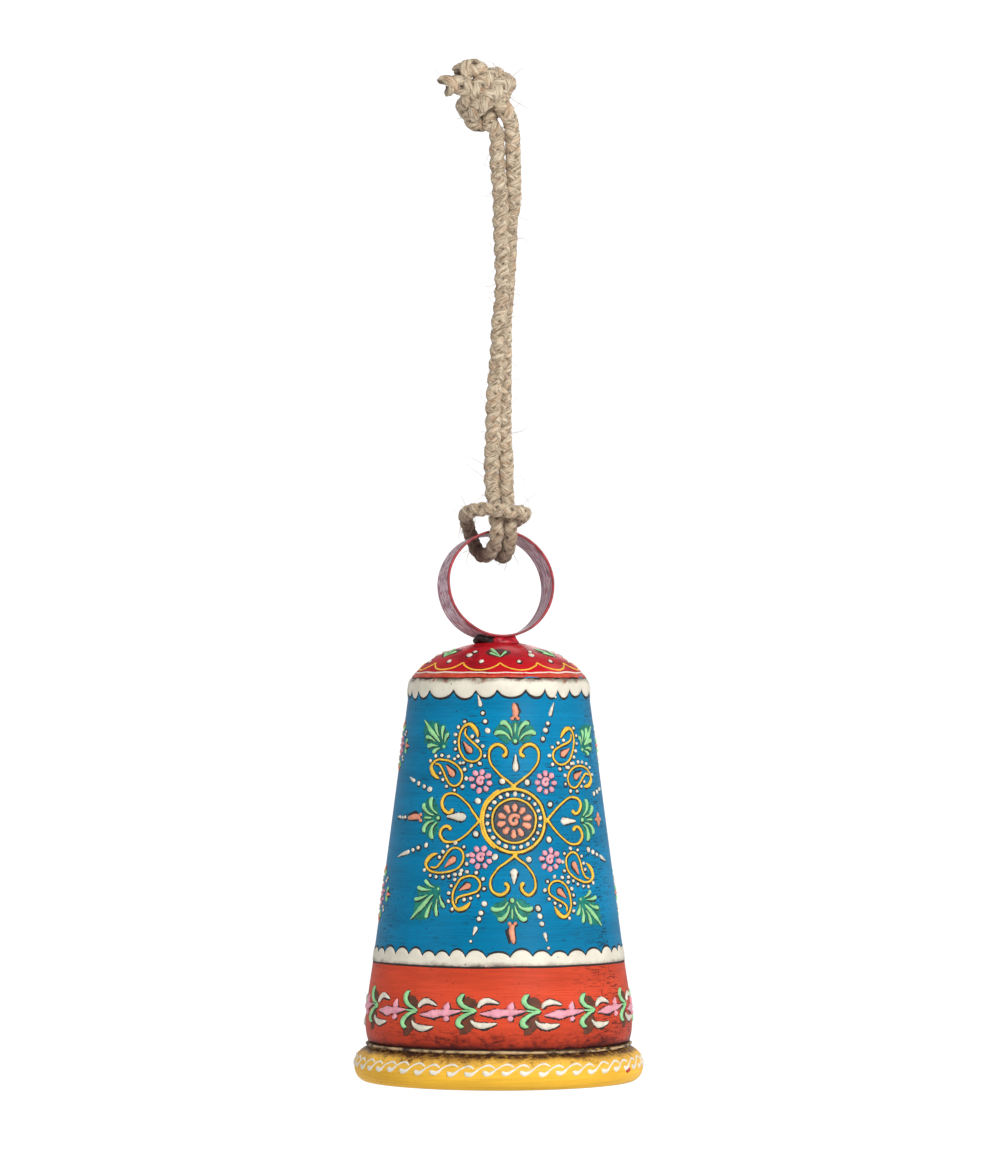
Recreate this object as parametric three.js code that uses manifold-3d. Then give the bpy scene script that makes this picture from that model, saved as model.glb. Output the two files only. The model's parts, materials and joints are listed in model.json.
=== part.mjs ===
// A hand-painted sheet-metal bell on a braided jute loop, with a wooden clapper.
// Millimetres, +Z up. The origin is the hang point, just under the knot, straight above the bell's axis.

import * as THREE from 'three';
import { mergeVertices } from 'three/addons/utils/BufferGeometryUtils.js';
import Module from 'manifold-3d';

const wasm = await Module();
wasm.setup();

// ---- driving dimensions ----------------------------------------------------------------------

const GAP = 0.3;                    // clearance kept between touching pieces

const SHEET = 1.2;                  // wall of the bell's sheet metal
const CROWN_TOP = -162.6;           // apex of the crown
const CROWN_DISC_RADIUS = 40;       // curvature of the crown's top
const CROWN_DISC_EDGE = 13.3;       // where the flat-domed top turns over
const SHOULDER_RADIUS = 29.0;       // widest point of the crown
const CROWN_FOOT = -177.2;          // lower edge of the crown cap
const CONE_TOP_RADIUS = 29.1;
const CONE_TOP = -181.4;
const CONE_FOOT_RADIUS = 40.0;
const CONE_FOOT = -263.0;
const BAND_RADIUS = 42.6;           // fullest point of the lower band
const BAND_HEIGHT_AT = -283.2;
const NECK_RADIUS = 41.8;           // where the skirt meets the rim
const SKIRT_FOOT = -290.2;
const RIM_TOP = -290.6;
const RIM_FLARE_AT = -291.9;
const RIM_RADIUS = 46.2;
const RIM_WIDEST_AT = -297.5;
const MOUTH = -302.6;
const MOUTH_OUTER_RADIUS = 43.8;
const MOUTH_INNER_RADIUS = 41.6;
const BEAD = 0.6;                   // radius of the soldered beads
const ROUND_STEPS = 48;             // facets round the bell

const RING_RADIUS = 17.2;
const RING_WALL = 1.0;
const RING_WIDTH = 12.0;
const RING_LEAN = THREE.MathUtils.degToRad(6);
const RING_CENTRE = [0, 1.8, -144.8];

const STAPLE_WIRE = 1.2;            // radius of the staple's wire
const STAPLE_BAR_AT = -173.0;
const STAPLE_HALF_SPAN = 6.5;

const HOOK_WIRE = 0.8;              // radius of the hook's wire
const HOOK_EYE_RADIUS = 2.6;
const CLAPPER_PIN_AT = -217.0;      // where the hook passes through the clapper
const STIRRUP_HALF_WIDTH = 4.7;
const CLAPPER_TOP = CLAPPER_PIN_AT + 3.6;
const CLAPPER_FOOT = -289.0;
const CLAPPER_NECK_RADIUS = 3.2;
const CLAPPER_HEAD_RADIUS = 9.4;
const CLAPPER_HOLE_RADIUS = 1.4;

const ROPE_RADIUS = 2.4;
const ROPE_SIDES = 10;
const ROPE_BEND_AT = -112.0;        // height at which the loop folds over the ring
const STRAND_HALF_SPACING = 2.55;

// ---- materials -------------------------------------------------------------------------------

const material = (color, roughness, metalness = 0) =>
  new THREE.MeshStandardMaterial({ color, roughness, metalness });

const crimsonPaint = material(0xc41f30, 0.4);
const bluePaint = material(0x0674a8, 0.45);
const yellowPaint = material(0xeab13e, 0.45);
const rubbedRedPaint = material(0xb06a74, 0.5);
const creamPaint = material(0xebe4d4, 0.5);
const burntSolder = material(0x5a3a34, 0.7, 0.4);
const bareSteel = material(0x6d6a66, 0.5, 0.9);
const turnedWood = material(0xa9774a, 0.7);
const jute = material(0xa49177, 0.95);

// ---- geometry helpers ------------------------------------------------------------------------

const at = (x, y, z) => new THREE.Vector3(x, y, z);

function toSolid(geometry) {
  const bare = geometry.clone();
  bare.deleteAttribute('normal');
  bare.deleteAttribute('uv');
  const merged = mergeVertices(bare, 1e-4);
  return new wasm.Manifold(new wasm.Mesh({
    numProp: 3,
    vertProperties: new Float32Array(merged.attributes.position.array),
    triVerts: new Uint32Array(merged.index.array),
  }));
}

function toGeometry(solid) {
  const mesh = solid.getMesh();
  const geometry = new THREE.BufferGeometry();
  geometry.setAttribute('position', new THREE.BufferAttribute(new Float32Array(mesh.vertProperties), 3));
  geometry.setIndex(new THREE.BufferAttribute(new Uint32Array(mesh.triVerts), 1));
  geometry.computeVertexNormals();
  return geometry;
}

// A profile of [radius, height] turned about the bell's axis.
function turned(profile, steps = ROUND_STEPS) {
  const geometry = new THREE.LatheGeometry(profile.map(([r, h]) => new THREE.Vector2(r, h)), steps);
  geometry.rotateX(Math.PI / 2);
  return geometry;
}

function ringBead(radius, height, beadRadius = BEAD) {
  const profile = [];
  for (let i = 0; i <= 8; i += 1) {
    const angle = (i / 8) * Math.PI * 2;
    profile.push([radius + beadRadius * Math.cos(angle), height + beadRadius * Math.sin(angle)]);
  }
  return turned(profile);
}

function tube(points, radius, steps, sides = ROPE_SIDES) {
  const section = new THREE.Shape();
  for (let i = 0; i < sides; i += 1) {
    const angle = (i / sides) * Math.PI * 2;
    const corner = [radius * Math.cos(angle), radius * Math.sin(angle)];
    if (i === 0) section.moveTo(...corner);
    else section.lineTo(...corner);
  }
  section.closePath();
  const path = new THREE.CatmullRomCurve3(points, false, 'centripetal');
  return new THREE.ExtrudeGeometry(section, { steps, bevelEnabled: false, extrudePath: path });
}

function ball(radius, centre, scale = [1, 1, 1], steps = 16) {
  const geometry = new THREE.SphereGeometry(radius, steps, steps / 2);
  geometry.scale(...scale);
  geometry.translate(...centre);
  return geometry;
}

// ---- bell shells -----------------------------------------------------------------------------

// Height of the crown's outer surface over its domed top.
const crownTopHeight = (radius) => CROWN_TOP - radius * radius / (2 * CROWN_DISC_RADIUS);

// The crown from its apex to its foot, moved inwards by an offset.
function crownProfile(offset) {
  const points = [];
  for (let i = 0; i <= 4; i += 1) {
    const radius = (i / 4) * CROWN_DISC_EDGE;
    points.push([radius, crownTopHeight(radius) - offset]);
  }
  const shoulder = new THREE.CubicBezierCurve(
    new THREE.Vector2(CROWN_DISC_EDGE, crownTopHeight(CROWN_DISC_EDGE)),
    new THREE.Vector2(21, -166.8),
    new THREE.Vector2(28.2, -172.4),
    new THREE.Vector2(SHOULDER_RADIUS, CROWN_FOOT),
  );
  for (let i = 1; i <= 6; i += 1) {
    const point = shoulder.getPoint(i / 6);
    const tangent = shoulder.getTangent(i / 6);
    points.push([point.x + tangent.y * offset, point.y - tangent.x * offset]);
  }
  points[points.length - 1][1] = CROWN_FOOT;
  return points;
}

function crownCap() {
  const outer = crownProfile(0);
  const inner = crownProfile(SHEET).reverse();
  return turned([...outer, ...inner].reverse());
}

const skirtOutline = [
  [SHOULDER_RADIUS, CROWN_FOOT - GAP],
  [CONE_TOP_RADIUS, CONE_TOP],
  [34.6, -222.5],
  [CONE_FOOT_RADIUS, CONE_FOOT],
  [41.6, -274.0],
  [BAND_RADIUS, BAND_HEIGHT_AT],
  [42.5, -287.0],
  [NECK_RADIUS, SKIRT_FOOT],
];

function bellSkirt() {
  const inner = skirtOutline.map(([r, h]) => [r - SHEET, h]).reverse();
  const loop = [...skirtOutline, ...inner, skirtOutline[0]];
  return turned(loop.reverse());
}

function mouthRim() {
  const outer = [[NECK_RADIUS, RIM_TOP]];
  const upper = new THREE.QuadraticBezierCurve(
    new THREE.Vector2(NECK_RADIUS, RIM_FLARE_AT),
    new THREE.Vector2(45.9, -293.6),
    new THREE.Vector2(RIM_RADIUS, RIM_WIDEST_AT),
  );
  const lower = new THREE.QuadraticBezierCurve(
    new THREE.Vector2(RIM_RADIUS, RIM_WIDEST_AT),
    new THREE.Vector2(46.1, -301.2),
    new THREE.Vector2(MOUTH_OUTER_RADIUS, MOUTH),
  );
  for (let i = 0; i <= 4; i += 1) outer.push(upper.getPoint(i / 4).toArray());
  for (let i = 1; i <= 4; i += 1) outer.push(lower.getPoint(i / 4).toArray());
  const inner = [
    [MOUTH_INNER_RADIUS, MOUTH],
    [40.7, -297.0],
    [NECK_RADIUS - SHEET, RIM_TOP],
  ];
  return turned([...outer, ...inner, outer[0]].reverse());
}

// The brazed lap where the rolled skirt closes, a strip down the inside at the back.
function sideSeam() {
  const strip = new THREE.Shape();
  const wallAt = (height) => {
    const share = (CONE_TOP - height) / (CONE_TOP - CONE_FOOT);
    return CONE_TOP_RADIUS + share * (CONE_FOOT_RADIUS - CONE_TOP_RADIUS) - SHEET;
  };
  const top = CONE_TOP - 2;
  strip.moveTo(wallAt(top) - 0.4, top);
  strip.lineTo(wallAt(top) - 1.1, top);
  strip.lineTo(wallAt(CONE_FOOT) - 1.1, CONE_FOOT);
  strip.lineTo(wallAt(CONE_FOOT) - 0.4, CONE_FOOT);
  strip.closePath();
  const geometry = new THREE.ExtrudeGeometry(strip, { depth: 3, bevelEnabled: false });
  geometry.translate(0, 0, -1.5);
  geometry.rotateX(Math.PI / 2);
  geometry.rotateZ(Math.PI / 2);
  return geometry;
}

// ---- hanging ring and its solder -------------------------------------------------------------

function hangingRing(outer = RING_RADIUS, inner = RING_RADIUS - RING_WALL, width = RING_WIDTH) {
  const half = width / 2;
  const loop = inner > 0
    ? [[inner, -half], [outer, -half], [outer, half], [inner, half], [inner, -half]]
    : [[0, -half], [outer, -half], [outer, half], [0, half]];
  const geometry = new THREE.LatheGeometry(loop.map(([r, h]) => new THREE.Vector2(r, h)), ROUND_STEPS);
  geometry.rotateX(-RING_LEAN);
  geometry.translate(...RING_CENTRE);
  return geometry;
}

// A solder fillet on one side of the line where the ring stands on the crown.
function ringSolder(side) {
  const blob = toSolid(ball(1, [side * 5.2, 0.6, -163.0], [3.9, 5.0, 2.6]));
  const crownKeepOut = toSolid(turned([
    [0, -190],
    [30, -190],
    [30, crownTopHeight(30) + GAP],
    [20, crownTopHeight(20) + GAP],
    [CROWN_DISC_EDGE, crownTopHeight(CROWN_DISC_EDGE) + GAP],
    [8, crownTopHeight(8) + GAP],
    [4, crownTopHeight(4) + GAP],
    [0, CROWN_TOP + GAP],
  ]));
  const ringKeepOut = toSolid(hangingRing(RING_RADIUS + GAP, 0, RING_WIDTH + 2 * GAP));
  return toGeometry(blob.subtract(crownKeepOut).subtract(ringKeepOut));
}

// ---- staple, hook and clapper inside the bell -------------------------------------------------

function stapleWire() {
  const top = crownTopHeight(STAPLE_HALF_SPAN) - SHEET - GAP - 0.1;
  const points = [at(-STAPLE_HALF_SPAN, 0, top)];
  const bend = 2.4;
  for (const side of [-1, 1]) {
    for (let i = 0; i <= 3; i += 1) {
      const turn = (side < 0 ? i : 3 - i) / 3 * Math.PI / 2;
      const x = side * (STAPLE_HALF_SPAN - bend + bend * Math.cos(turn));
      points.push(at(x, 0, STAPLE_BAR_AT + bend - bend * Math.sin(turn)));
    }
  }
  points.push(at(STAPLE_HALF_SPAN, 0, top));
  return tube(points, STAPLE_WIRE, 30, 8);
}

// A collar of solder round the top of one staple leg.
function stapleSolder(side) {
  const legAt = side * STAPLE_HALF_SPAN;
  const underside = crownTopHeight(legAt + side * 3) - SHEET - GAP;
  const collar = new THREE.LatheGeometry([
    new THREE.Vector2(STAPLE_WIRE + GAP, underside - 2.2),
    new THREE.Vector2(2.2, underside - 2.2),
    new THREE.Vector2(3.0, underside - 0.1),
    new THREE.Vector2(STAPLE_WIRE + GAP, underside - 0.1),
    new THREE.Vector2(STAPLE_WIRE + GAP, underside - 2.2),
  ], 20);
  collar.rotateX(Math.PI / 2);
  collar.translate(legAt, 0, 0);
  return collar;
}

// One bent wire: an eye round the staple, a straight shank, and a stirrup through the clapper.
function clapperHook() {
  const points = [];
  for (let i = 0; i <= 8; i += 1) {
    const angle = THREE.MathUtils.degToRad(-42 + i * 36);
    points.push(at(0, HOOK_EYE_RADIUS * Math.cos(angle), STAPLE_BAR_AT + HOOK_EYE_RADIUS * Math.sin(angle)));
  }
  const half = STIRRUP_HALF_WIDTH;
  points.push(
    at(0, 0, STAPLE_BAR_AT - 4.6),
    at(0, 0, STAPLE_BAR_AT - 12),
    at(0, 0, CLAPPER_PIN_AT + 18),
    at(0, -0.4, CLAPPER_PIN_AT + 11.5),
    at(0, -half * 0.78, CLAPPER_PIN_AT + 7.2),
    at(0, -half, CLAPPER_PIN_AT + 3.6),
    at(0, -half, CLAPPER_PIN_AT + 1.5),
    at(0, -half + 0.5, CLAPPER_PIN_AT + 0.3),
    at(0, -half + 1.4, CLAPPER_PIN_AT),
    at(0, half - 1.4, CLAPPER_PIN_AT),
    at(0, half - 0.5, CLAPPER_PIN_AT + 0.3),
    at(0, half, CLAPPER_PIN_AT + 1.5),
    at(0, half, CLAPPER_PIN_AT + 3.6),
    at(0, half * 0.78, CLAPPER_PIN_AT + 7.2),
    at(0, 2.6, CLAPPER_PIN_AT + 9.0),
  );
  return tube(points, HOOK_WIRE, 96, 8);
}

function clapper() {
  const body = turned([
    [0, CLAPPER_TOP],
    [CLAPPER_NECK_RADIUS - 0.8, CLAPPER_TOP],
    [CLAPPER_NECK_RADIUS, CLAPPER_TOP - 0.9],
    [CLAPPER_NECK_RADIUS, CLAPPER_PIN_AT - 3.4],
    [3.8, CLAPPER_PIN_AT - 8],
    [5.4, -242],
    [7.4, -258],
    [CLAPPER_HEAD_RADIUS, -272],
    [CLAPPER_HEAD_RADIUS, -278],
    [8.0, -285],
    [5.4, CLAPPER_FOOT + 0.6],
    [4.6, CLAPPER_FOOT],
    [0, CLAPPER_FOOT],
  ].reverse(), 24);
  const drill = new THREE.CylinderGeometry(CLAPPER_HOLE_RADIUS, CLAPPER_HOLE_RADIUS, 12, 16);
  drill.translate(0, 0, CLAPPER_PIN_AT);
  return toGeometry(toSolid(body).subtract(toSolid(drill)));
}

// ---- rope: one cord from tail to tail, in the stretches that stay straight and the hitch ---------

const leftStrand = [
  at(-0.57, 0.18, 0),
  at(-0.54, -0.05, -8.6),
  at(0.19, -1.42, -21.4),
  at(-0.08, -1.96, -27.8),
  at(0.37, -2.57, -40.6),
  at(0.32, -2.71, -53.4),
  at(-0.52, -2.40, -59.8),
  at(-1.16, -2.10, -72.6),
  at(-2.28, -1.29, -85.4),
  at(-2.47, -0.92, -98.2),
  at(-STRAND_HALF_SPACING - 0.05, -0.16, -105.0),
  at(-STRAND_HALF_SPACING, 0, ROPE_BEND_AT + ROPE_RADIUS + GAP),
];

const rightStrand = [
  at(4.2, -1.1, 2.0),
  at(4.87, -1.17, -8.6),
  at(5.26, -0.25, -21.4),
  at(4.38, 0.65, -27.8),
  at(3.94, 1.25, -40.6),
  at(3.02, 1.69, -53.4),
  at(2.44, 1.82, -59.8),
  at(2.41, 1.72, -72.6),
  at(2.28, 1.29, -85.4),
  at(2.34, 1.17, -98.2),
  at(STRAND_HALF_SPACING + 0.2, 0.10, -105.0),
  at(STRAND_HALF_SPACING, 0, ROPE_BEND_AT + ROPE_RADIUS + GAP),
];

// Down in front of the ring's edge, under it, up behind, round both strands in front, and back the same way.
const hitchRoute = [
  at(-STRAND_HALF_SPACING, 0, ROPE_BEND_AT),
  at(-2.6, -2.4, -119.5),
  at(-2.6, -5.1, -126.5),
  at(-2.8, -3.8, -131.8),
  at(-3.4, 0.6, -135.0),
  at(-4.4, 6.2, -135.8),
  at(-5.6, 11.2, -133.8),
  at(-7.2, 13.6, -129.8),
  at(-9.5, 12.4, -125.8),
  at(-11.7, 8.2, -123.2),
  at(-12.6, 2.0, -121.9),
  at(-11.4, -4.2, -121.2),
  at(-7.4, -8.9, -120.9),
  at(-2.0, -10.6, -121.4),
  at(3.6, -10.0, -121.8),
  at(7.5, -6.6, -122.1),
  at(8.6, -1.2, -122.5),
  at(8.2, 5.0, -123.7),
  at(7.0, 10.4, -126.2),
  at(5.4, 13.2, -130.0),
  at(4.0, 11.4, -134.0),
  at(3.2, 6.6, -136.0),
  at(2.8, 1.0, -135.1),
  at(2.6, -3.6, -131.8),
  at(2.6, -5.1, -126.5),
  at(2.6, -2.4, -119.5),
  at(STRAND_HALF_SPACING, 0, ROPE_BEND_AT),
];

const upperTail = [
  at(-7.4, -0.6, 23.4),
  at(-10.6, -0.4, 22.6),
  at(-13.4, 0, 21.4),
];

const lowerTail = [
  at(-13.6, -3.4, 14.4),
  at(-16.6, -2.8, 17.2),
  at(-19.0, -2.0, 16.4),
];

function ropeHitch() {
  let solid = toSolid(tube(hitchRoute, ROPE_RADIUS, 38));
  for (const side of [-1, 1]) {
    solid = solid.add(toSolid(ball(ROPE_RADIUS, [side * STRAND_HALF_SPACING, 0, ROPE_BEND_AT])));
  }
  return toGeometry(solid);
}

// ---- assembly --------------------------------------------------------------------------------

const group = new THREE.Group();

function add(name, geometry, finish) {
  const mesh = new THREE.Mesh(geometry, finish);
  mesh.name = name;
  group.add(mesh);
}

add('crown_cap', crownCap(), crimsonPaint);
add('bell_skirt', bellSkirt(), bluePaint);
add('mouth_rim', mouthRim(), yellowPaint);
add('crown_seam_bead', ringBead(SHOULDER_RADIUS - SHEET - GAP - BEAD, CROWN_FOOT - 0.1), burntSolder);
add('rim_seam_bead', ringBead(NECK_RADIUS + GAP + BEAD, (SKIRT_FOOT + RIM_FLARE_AT) / 2), creamPaint);
add('side_seam_strip', sideSeam(), burntSolder);

add('hanging_ring', hangingRing(), rubbedRedPaint);
add('ring_solder_left', ringSolder(-1), burntSolder);
add('ring_solder_right', ringSolder(1), crimsonPaint);

add('clapper_staple', stapleWire(), bareSteel);
add('staple_solder_left', stapleSolder(-1), burntSolder);
add('staple_solder_right', stapleSolder(1), burntSolder);
add('clapper_hook', clapperHook(), bareSteel);
add('clapper', clapper(), turnedWood);

add('rope_knot', ball(1, [-4.3, 0, 11.4], [8.2, 7.0, 10.4]), jute);
add('rope_tail_upper', tube(upperTail, ROPE_RADIUS, 4), jute);
add('rope_tail_lower', tube(lowerTail, ROPE_RADIUS, 4), jute);
add('rope_strand_left', tube(leftStrand, ROPE_RADIUS, 14), jute);
add('rope_strand_right', tube(rightStrand, ROPE_RADIUS, 14), jute);
add('rope_hitch', ropeHitch(), jute);

export default group;
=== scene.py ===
"""A hand-painted hanging bell: sheet-metal shells, raised enamel, a strip ring and a braided jute loop."""
import bisect
import json
import math
import random

import bmesh
import bpy
from bpy.props import FloatProperty, FloatVectorProperty, IntProperty, PointerProperty
from mathutils import Matrix, Vector, noise


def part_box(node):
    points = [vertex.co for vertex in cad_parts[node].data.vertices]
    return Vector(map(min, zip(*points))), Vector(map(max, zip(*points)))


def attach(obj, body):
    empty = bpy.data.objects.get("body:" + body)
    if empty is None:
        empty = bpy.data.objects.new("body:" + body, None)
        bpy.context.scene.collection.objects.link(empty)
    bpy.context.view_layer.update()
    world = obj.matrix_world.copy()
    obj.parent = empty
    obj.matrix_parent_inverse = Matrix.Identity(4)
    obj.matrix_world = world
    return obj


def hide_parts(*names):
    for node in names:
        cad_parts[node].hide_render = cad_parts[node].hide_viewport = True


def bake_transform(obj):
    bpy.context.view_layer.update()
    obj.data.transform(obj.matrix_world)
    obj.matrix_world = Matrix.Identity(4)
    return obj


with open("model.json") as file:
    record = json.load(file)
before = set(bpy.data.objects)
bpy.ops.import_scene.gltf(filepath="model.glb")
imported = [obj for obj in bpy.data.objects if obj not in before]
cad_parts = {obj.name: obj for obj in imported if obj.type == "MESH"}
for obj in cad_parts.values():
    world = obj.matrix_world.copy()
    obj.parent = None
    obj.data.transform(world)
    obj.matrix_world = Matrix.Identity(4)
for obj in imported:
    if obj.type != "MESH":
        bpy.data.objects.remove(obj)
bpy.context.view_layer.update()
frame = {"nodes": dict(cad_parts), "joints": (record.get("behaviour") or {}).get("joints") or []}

bl_info = {
    "name": "Painted Hanging Bell",
    "version": (1, 0, 0),
    "blender": (4, 5, 0),
    "location": "3D View > Sidebar > Bell",
    "description": "Builds a hand-painted hanging bell on a braided cord, piece by piece",
    "category": "Add Mesh",
}

# ---- the frame: everything below is in millimetres until a mesh is made ------------

MM = 0.001


def node_span(node, axis):
    """Lowest and highest coordinate of a CAD node along one axis, in millimetres."""
    low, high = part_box(node)
    return low[axis] / MM, high[axis] / MM


CROWN_FOOT, CROWN_TOP = node_span("crown_cap", 2)
SKIRT_FOOT, SKIRT_TOP = node_span("bell_skirt", 2)
MOUTH, RIM_TOP = node_span("mouth_rim", 2)
RIM_RADIUS = node_span("mouth_rim", 0)[1]
SHOULDER_RADIUS = node_span("crown_cap", 0)[1]
BAND_RADIUS = node_span("bell_skirt", 0)[1]
RING_RADIUS = node_span("hanging_ring", 0)[1]

WALL = 1.2
FACING = math.radians(-17)            # the bell is seen with its ring turned this far
CORD_RADIUS = 2.4
RING_JOINT = next(j for j in frame["joints"] if j["name"] == "ring_turn")
RING_CENTRE = Vector(RING_JOINT["pos_m"]) / MM
RING_AXIS = Vector(RING_JOINT["axis"]).normalized()


# ---- sizes and colours a user would change ------------

def colour_property(name, default, description):
    return FloatVectorProperty(name=name, description=description, default=default, size=3, min=0, max=1,
                               subtype="COLOR")


def length_property(name, default, description):
    return FloatProperty(name=name, description=description, default=default * MM, min=0.00005,
                         unit="LENGTH", subtype="DISTANCE")


class BellPaint(bpy.types.PropertyGroup):
    """The bell's paints."""
    blue: colour_property("Blue", (0.0, 0.205, 0.40), "Ground of the skirt")
    orange_red: colour_property("Orange red", (0.66, 0.070, 0.028), "Ground of the lower band")
    crimson: colour_property("Crimson", (0.57, 0.009, 0.018), "Ground of the crown")
    rim_yellow: colour_property("Rim yellow", (1.0, 0.55, 0.05), "Ground of the rim")
    cream: colour_property("Cream", (0.84, 0.78, 0.64), "Scalloped borders and dots")
    line_yellow: colour_property("Line yellow", (0.97, 0.58, 0.045), "Scrolls, rings and outlines")
    coral: colour_property("Coral", (0.89, 0.34, 0.20), "Buds, drops and the rosette")
    pink: colour_property("Pink", (0.92, 0.39, 0.47), "Flowers and the vine's buds")
    mint: colour_property("Mint", (0.34, 0.74, 0.33), "Leaves")
    deep_green: colour_property("Deep green", (0.0, 0.215, 0.15), "Wash under the leaves")
    # Dirt also colours the dark halos round the raised enamel: antique wash and painted shadow.
    dirt: colour_property("Dirt", (0.012, 0.009, 0.010), "Antique wash round the raised lines")


class BellForm(bpy.types.PropertyGroup):
    """How the enamel and the metal are worked."""
    line: length_property("Line width", 0.86, "Width of a scroll line")
    dot: length_property("Dot radius", 0.62, "Radius of a small enamel dot")
    wobble: length_property("Wobble", 0.14, "How far the sheet metal strays from round")
    mandala_petals: IntProperty(name="Rosette petals", description="Petals in the rosette", default=10, min=5)


class CordForm(bpy.types.PropertyGroup):
    """How the cord is braided."""
    pitch: length_property("Pitch", 9.2, "Length of one full turn of a strand")
    fibres: IntProperty(name="Loose fibres", description="How many fibres stand off the cord", default=680,
                        min=0)


class StudioForm(bpy.types.PropertyGroup):
    """The studio."""
    key: FloatProperty(name="Key light", description="Power of the large light", default=13.0, min=0,
                       unit="POWER")
    fill: FloatProperty(name="Fill light", description="Power of the side lights", default=2.5, min=0,
                        unit="POWER")
    sky: FloatProperty(name="Sky", description="Strength of the white surroundings", default=0.42, min=0)


# ---- mesh helpers ------------

def make_object(name, points, faces, finishes, face_finish=None, attributes=None):
    """A smooth-shaded mesh object from points in millimetres."""
    mesh = bpy.data.meshes.new(name)
    mesh.from_pydata([Vector(p) * MM for p in points], [], faces)
    mesh.validate()
    for finish in finishes:
        mesh.materials.append(finish)
    mesh.polygons.foreach_set("use_smooth", [True] * len(mesh.polygons))
    if face_finish:
        mesh.polygons.foreach_set("material_index", face_finish)
    for key, values in (attributes or {}).items():
        mesh.attributes.new(key, "FLOAT", "POINT").data.foreach_set("value", values)
    mesh.update()
    piece = bpy.data.objects.new(name, mesh)
    bpy.context.scene.collection.objects.link(piece)
    return piece


def face_outwards(piece):
    """Turns the faces of each closed shell outwards."""
    work = bmesh.new()
    work.from_mesh(piece.data)
    bmesh.ops.recalc_face_normals(work, faces=work.faces)
    work.to_mesh(piece.data)
    work.free()


def ride_bell(piece, slot, *nodes):
    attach(piece, "bell")
    if nodes:
        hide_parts(*nodes)
    return piece


def vectors(points):
    return [Vector(p) for p in points]


def catmull(points, t):
    """A point on the smooth line through points, at t in 0..1 of its knots."""
    last = len(points) - 1
    place = min(max(t, 0.0), 1.0) * last
    i = min(int(place), last - 1)
    f = place - i
    p0 = points[max(i - 1, 0)]
    p1 = points[i]
    p2 = points[i + 1]
    p3 = points[min(i + 2, last)]
    return 0.5 * (2 * p1 + (p2 - p0) * f + (2 * p0 - 5 * p1 + 4 * p2 - p3) * f ** 2
                  + (3 * p1 - p0 - 3 * p2 + p3) * f ** 3)


def smooth_line(points, step):
    """The smooth line through points, as points about a step apart."""
    knots = vectors(points)
    fine = [catmull(knots, k / (len(knots) * 12)) for k in range(len(knots) * 12 + 1)]
    run = [0.0]
    for a, b in zip(fine, fine[1:]):
        run.append(run[-1] + (b - a).length)
    count = max(2, round(run[-1] / step))
    out, k = [], 0
    for i in range(count + 1):
        want = run[-1] * i / count
        while k < len(run) - 2 and run[k + 1] < want:
            k += 1
        share = (want - run[k]) / max(run[k + 1] - run[k], 1e-9)
        out.append(fine[k].lerp(fine[k + 1], share))
    return out


def carried_frames(points):
    """A direction ahead and two across at each point, turning as little as they can."""
    frames, normal = [], None
    for i in range(len(points)):
        ahead = (points[min(i + 1, len(points) - 1)] - points[max(i - 1, 0)]).normalized()
        if normal is None:
            normal = ahead.orthogonal().normalized()
        normal = (normal - ahead * normal.dot(ahead)).normalized()
        frames.append((ahead, normal, ahead.cross(normal)))
    return frames


def tube(points, radii, sides=8):
    """Points and faces of a round tube with closed ends along a line."""
    verts = []
    for p, radius, (_, normal, side) in zip(points, radii, carried_frames(points)):
        for k in range(sides):
            turn = math.tau * k / sides
            verts.append(p + (normal * math.cos(turn) + side * math.sin(turn)) * radius)
    return verts, capped_faces(len(points), sides)


def loop_faces(rows, sides, base=0, closed=False):
    """Faces between neighbouring rows of points, where each row is a closed loop."""
    faces = []
    for i in range(rows if closed else rows - 1):
        near, far = base + i * sides, base + (i + 1) % rows * sides
        for k in range(sides):
            m = (k + 1) % sides
            faces.append((near + k, near + m, far + m, far + k))
    return faces


def capped_faces(rows, sides, base=0):
    """The faces between rows of points, and one flat face at each end."""
    last = base + (rows - 1) * sides
    return loop_faces(rows, sides, base) + [tuple(base + k for k in reversed(range(sides))),
                                            tuple(range(last, last + sides))]


def add_part(store, part):
    """Appends one shell's points and faces to a growing pair of lists."""
    verts, faces = store
    base = len(verts)
    verts.extend(part[0])
    faces.extend(tuple(base + k for k in face) for face in part[1])


def bezier(p0, p1, p2, p3, t):
    s = 1 - t
    return s ** 3 * p0 + 3 * s * s * t * p1 + 3 * s * t * t * p2 + t ** 3 * p3


# ---- the bell's outer face ------------

def outer_profile():
    """Radius and height down the outer face, from the crown's apex to the mouth."""
    disc_edge, disc_curve = 13.3, 40.0
    line = [(disc_edge * k / 8, CROWN_TOP - (disc_edge * k / 8) ** 2 / (2 * disc_curve)) for k in range(9)]
    turn = vectors(((disc_edge, line[-1][1]), (21, -166.8), (28.2, -172.4), (SHOULDER_RADIUS, CROWN_FOOT)))
    line += [tuple(bezier(*turn, k / 16)) for k in range(1, 17)]
    foot = vectors(((29.1, -181.4), (34.55, -222.2), (40.0, -263.0), (41.6, -274.0), (BAND_RADIUS, -283.2),
                    (42.45, -287.4), (41.8, SKIRT_FOOT)))
    line += [tuple(catmull(foot, k / 60)) for k in range(61)]
    line.append((41.75, RIM_TOP - 0.8))
    upper = vectors(((41.8, -291.9), (44.6, -293.0), (46.1, -294.8), (RIM_RADIUS, -297.5)))
    lower = vectors((upper[-1], (46.3, -299.8), (45.6, -301.6), (43.8, MOUTH)))
    line += [tuple(bezier(*upper, k / 10)) for k in range(11)]
    line += [tuple(bezier(*lower, k / 10)) for k in range(1, 11)]
    return line


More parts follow.
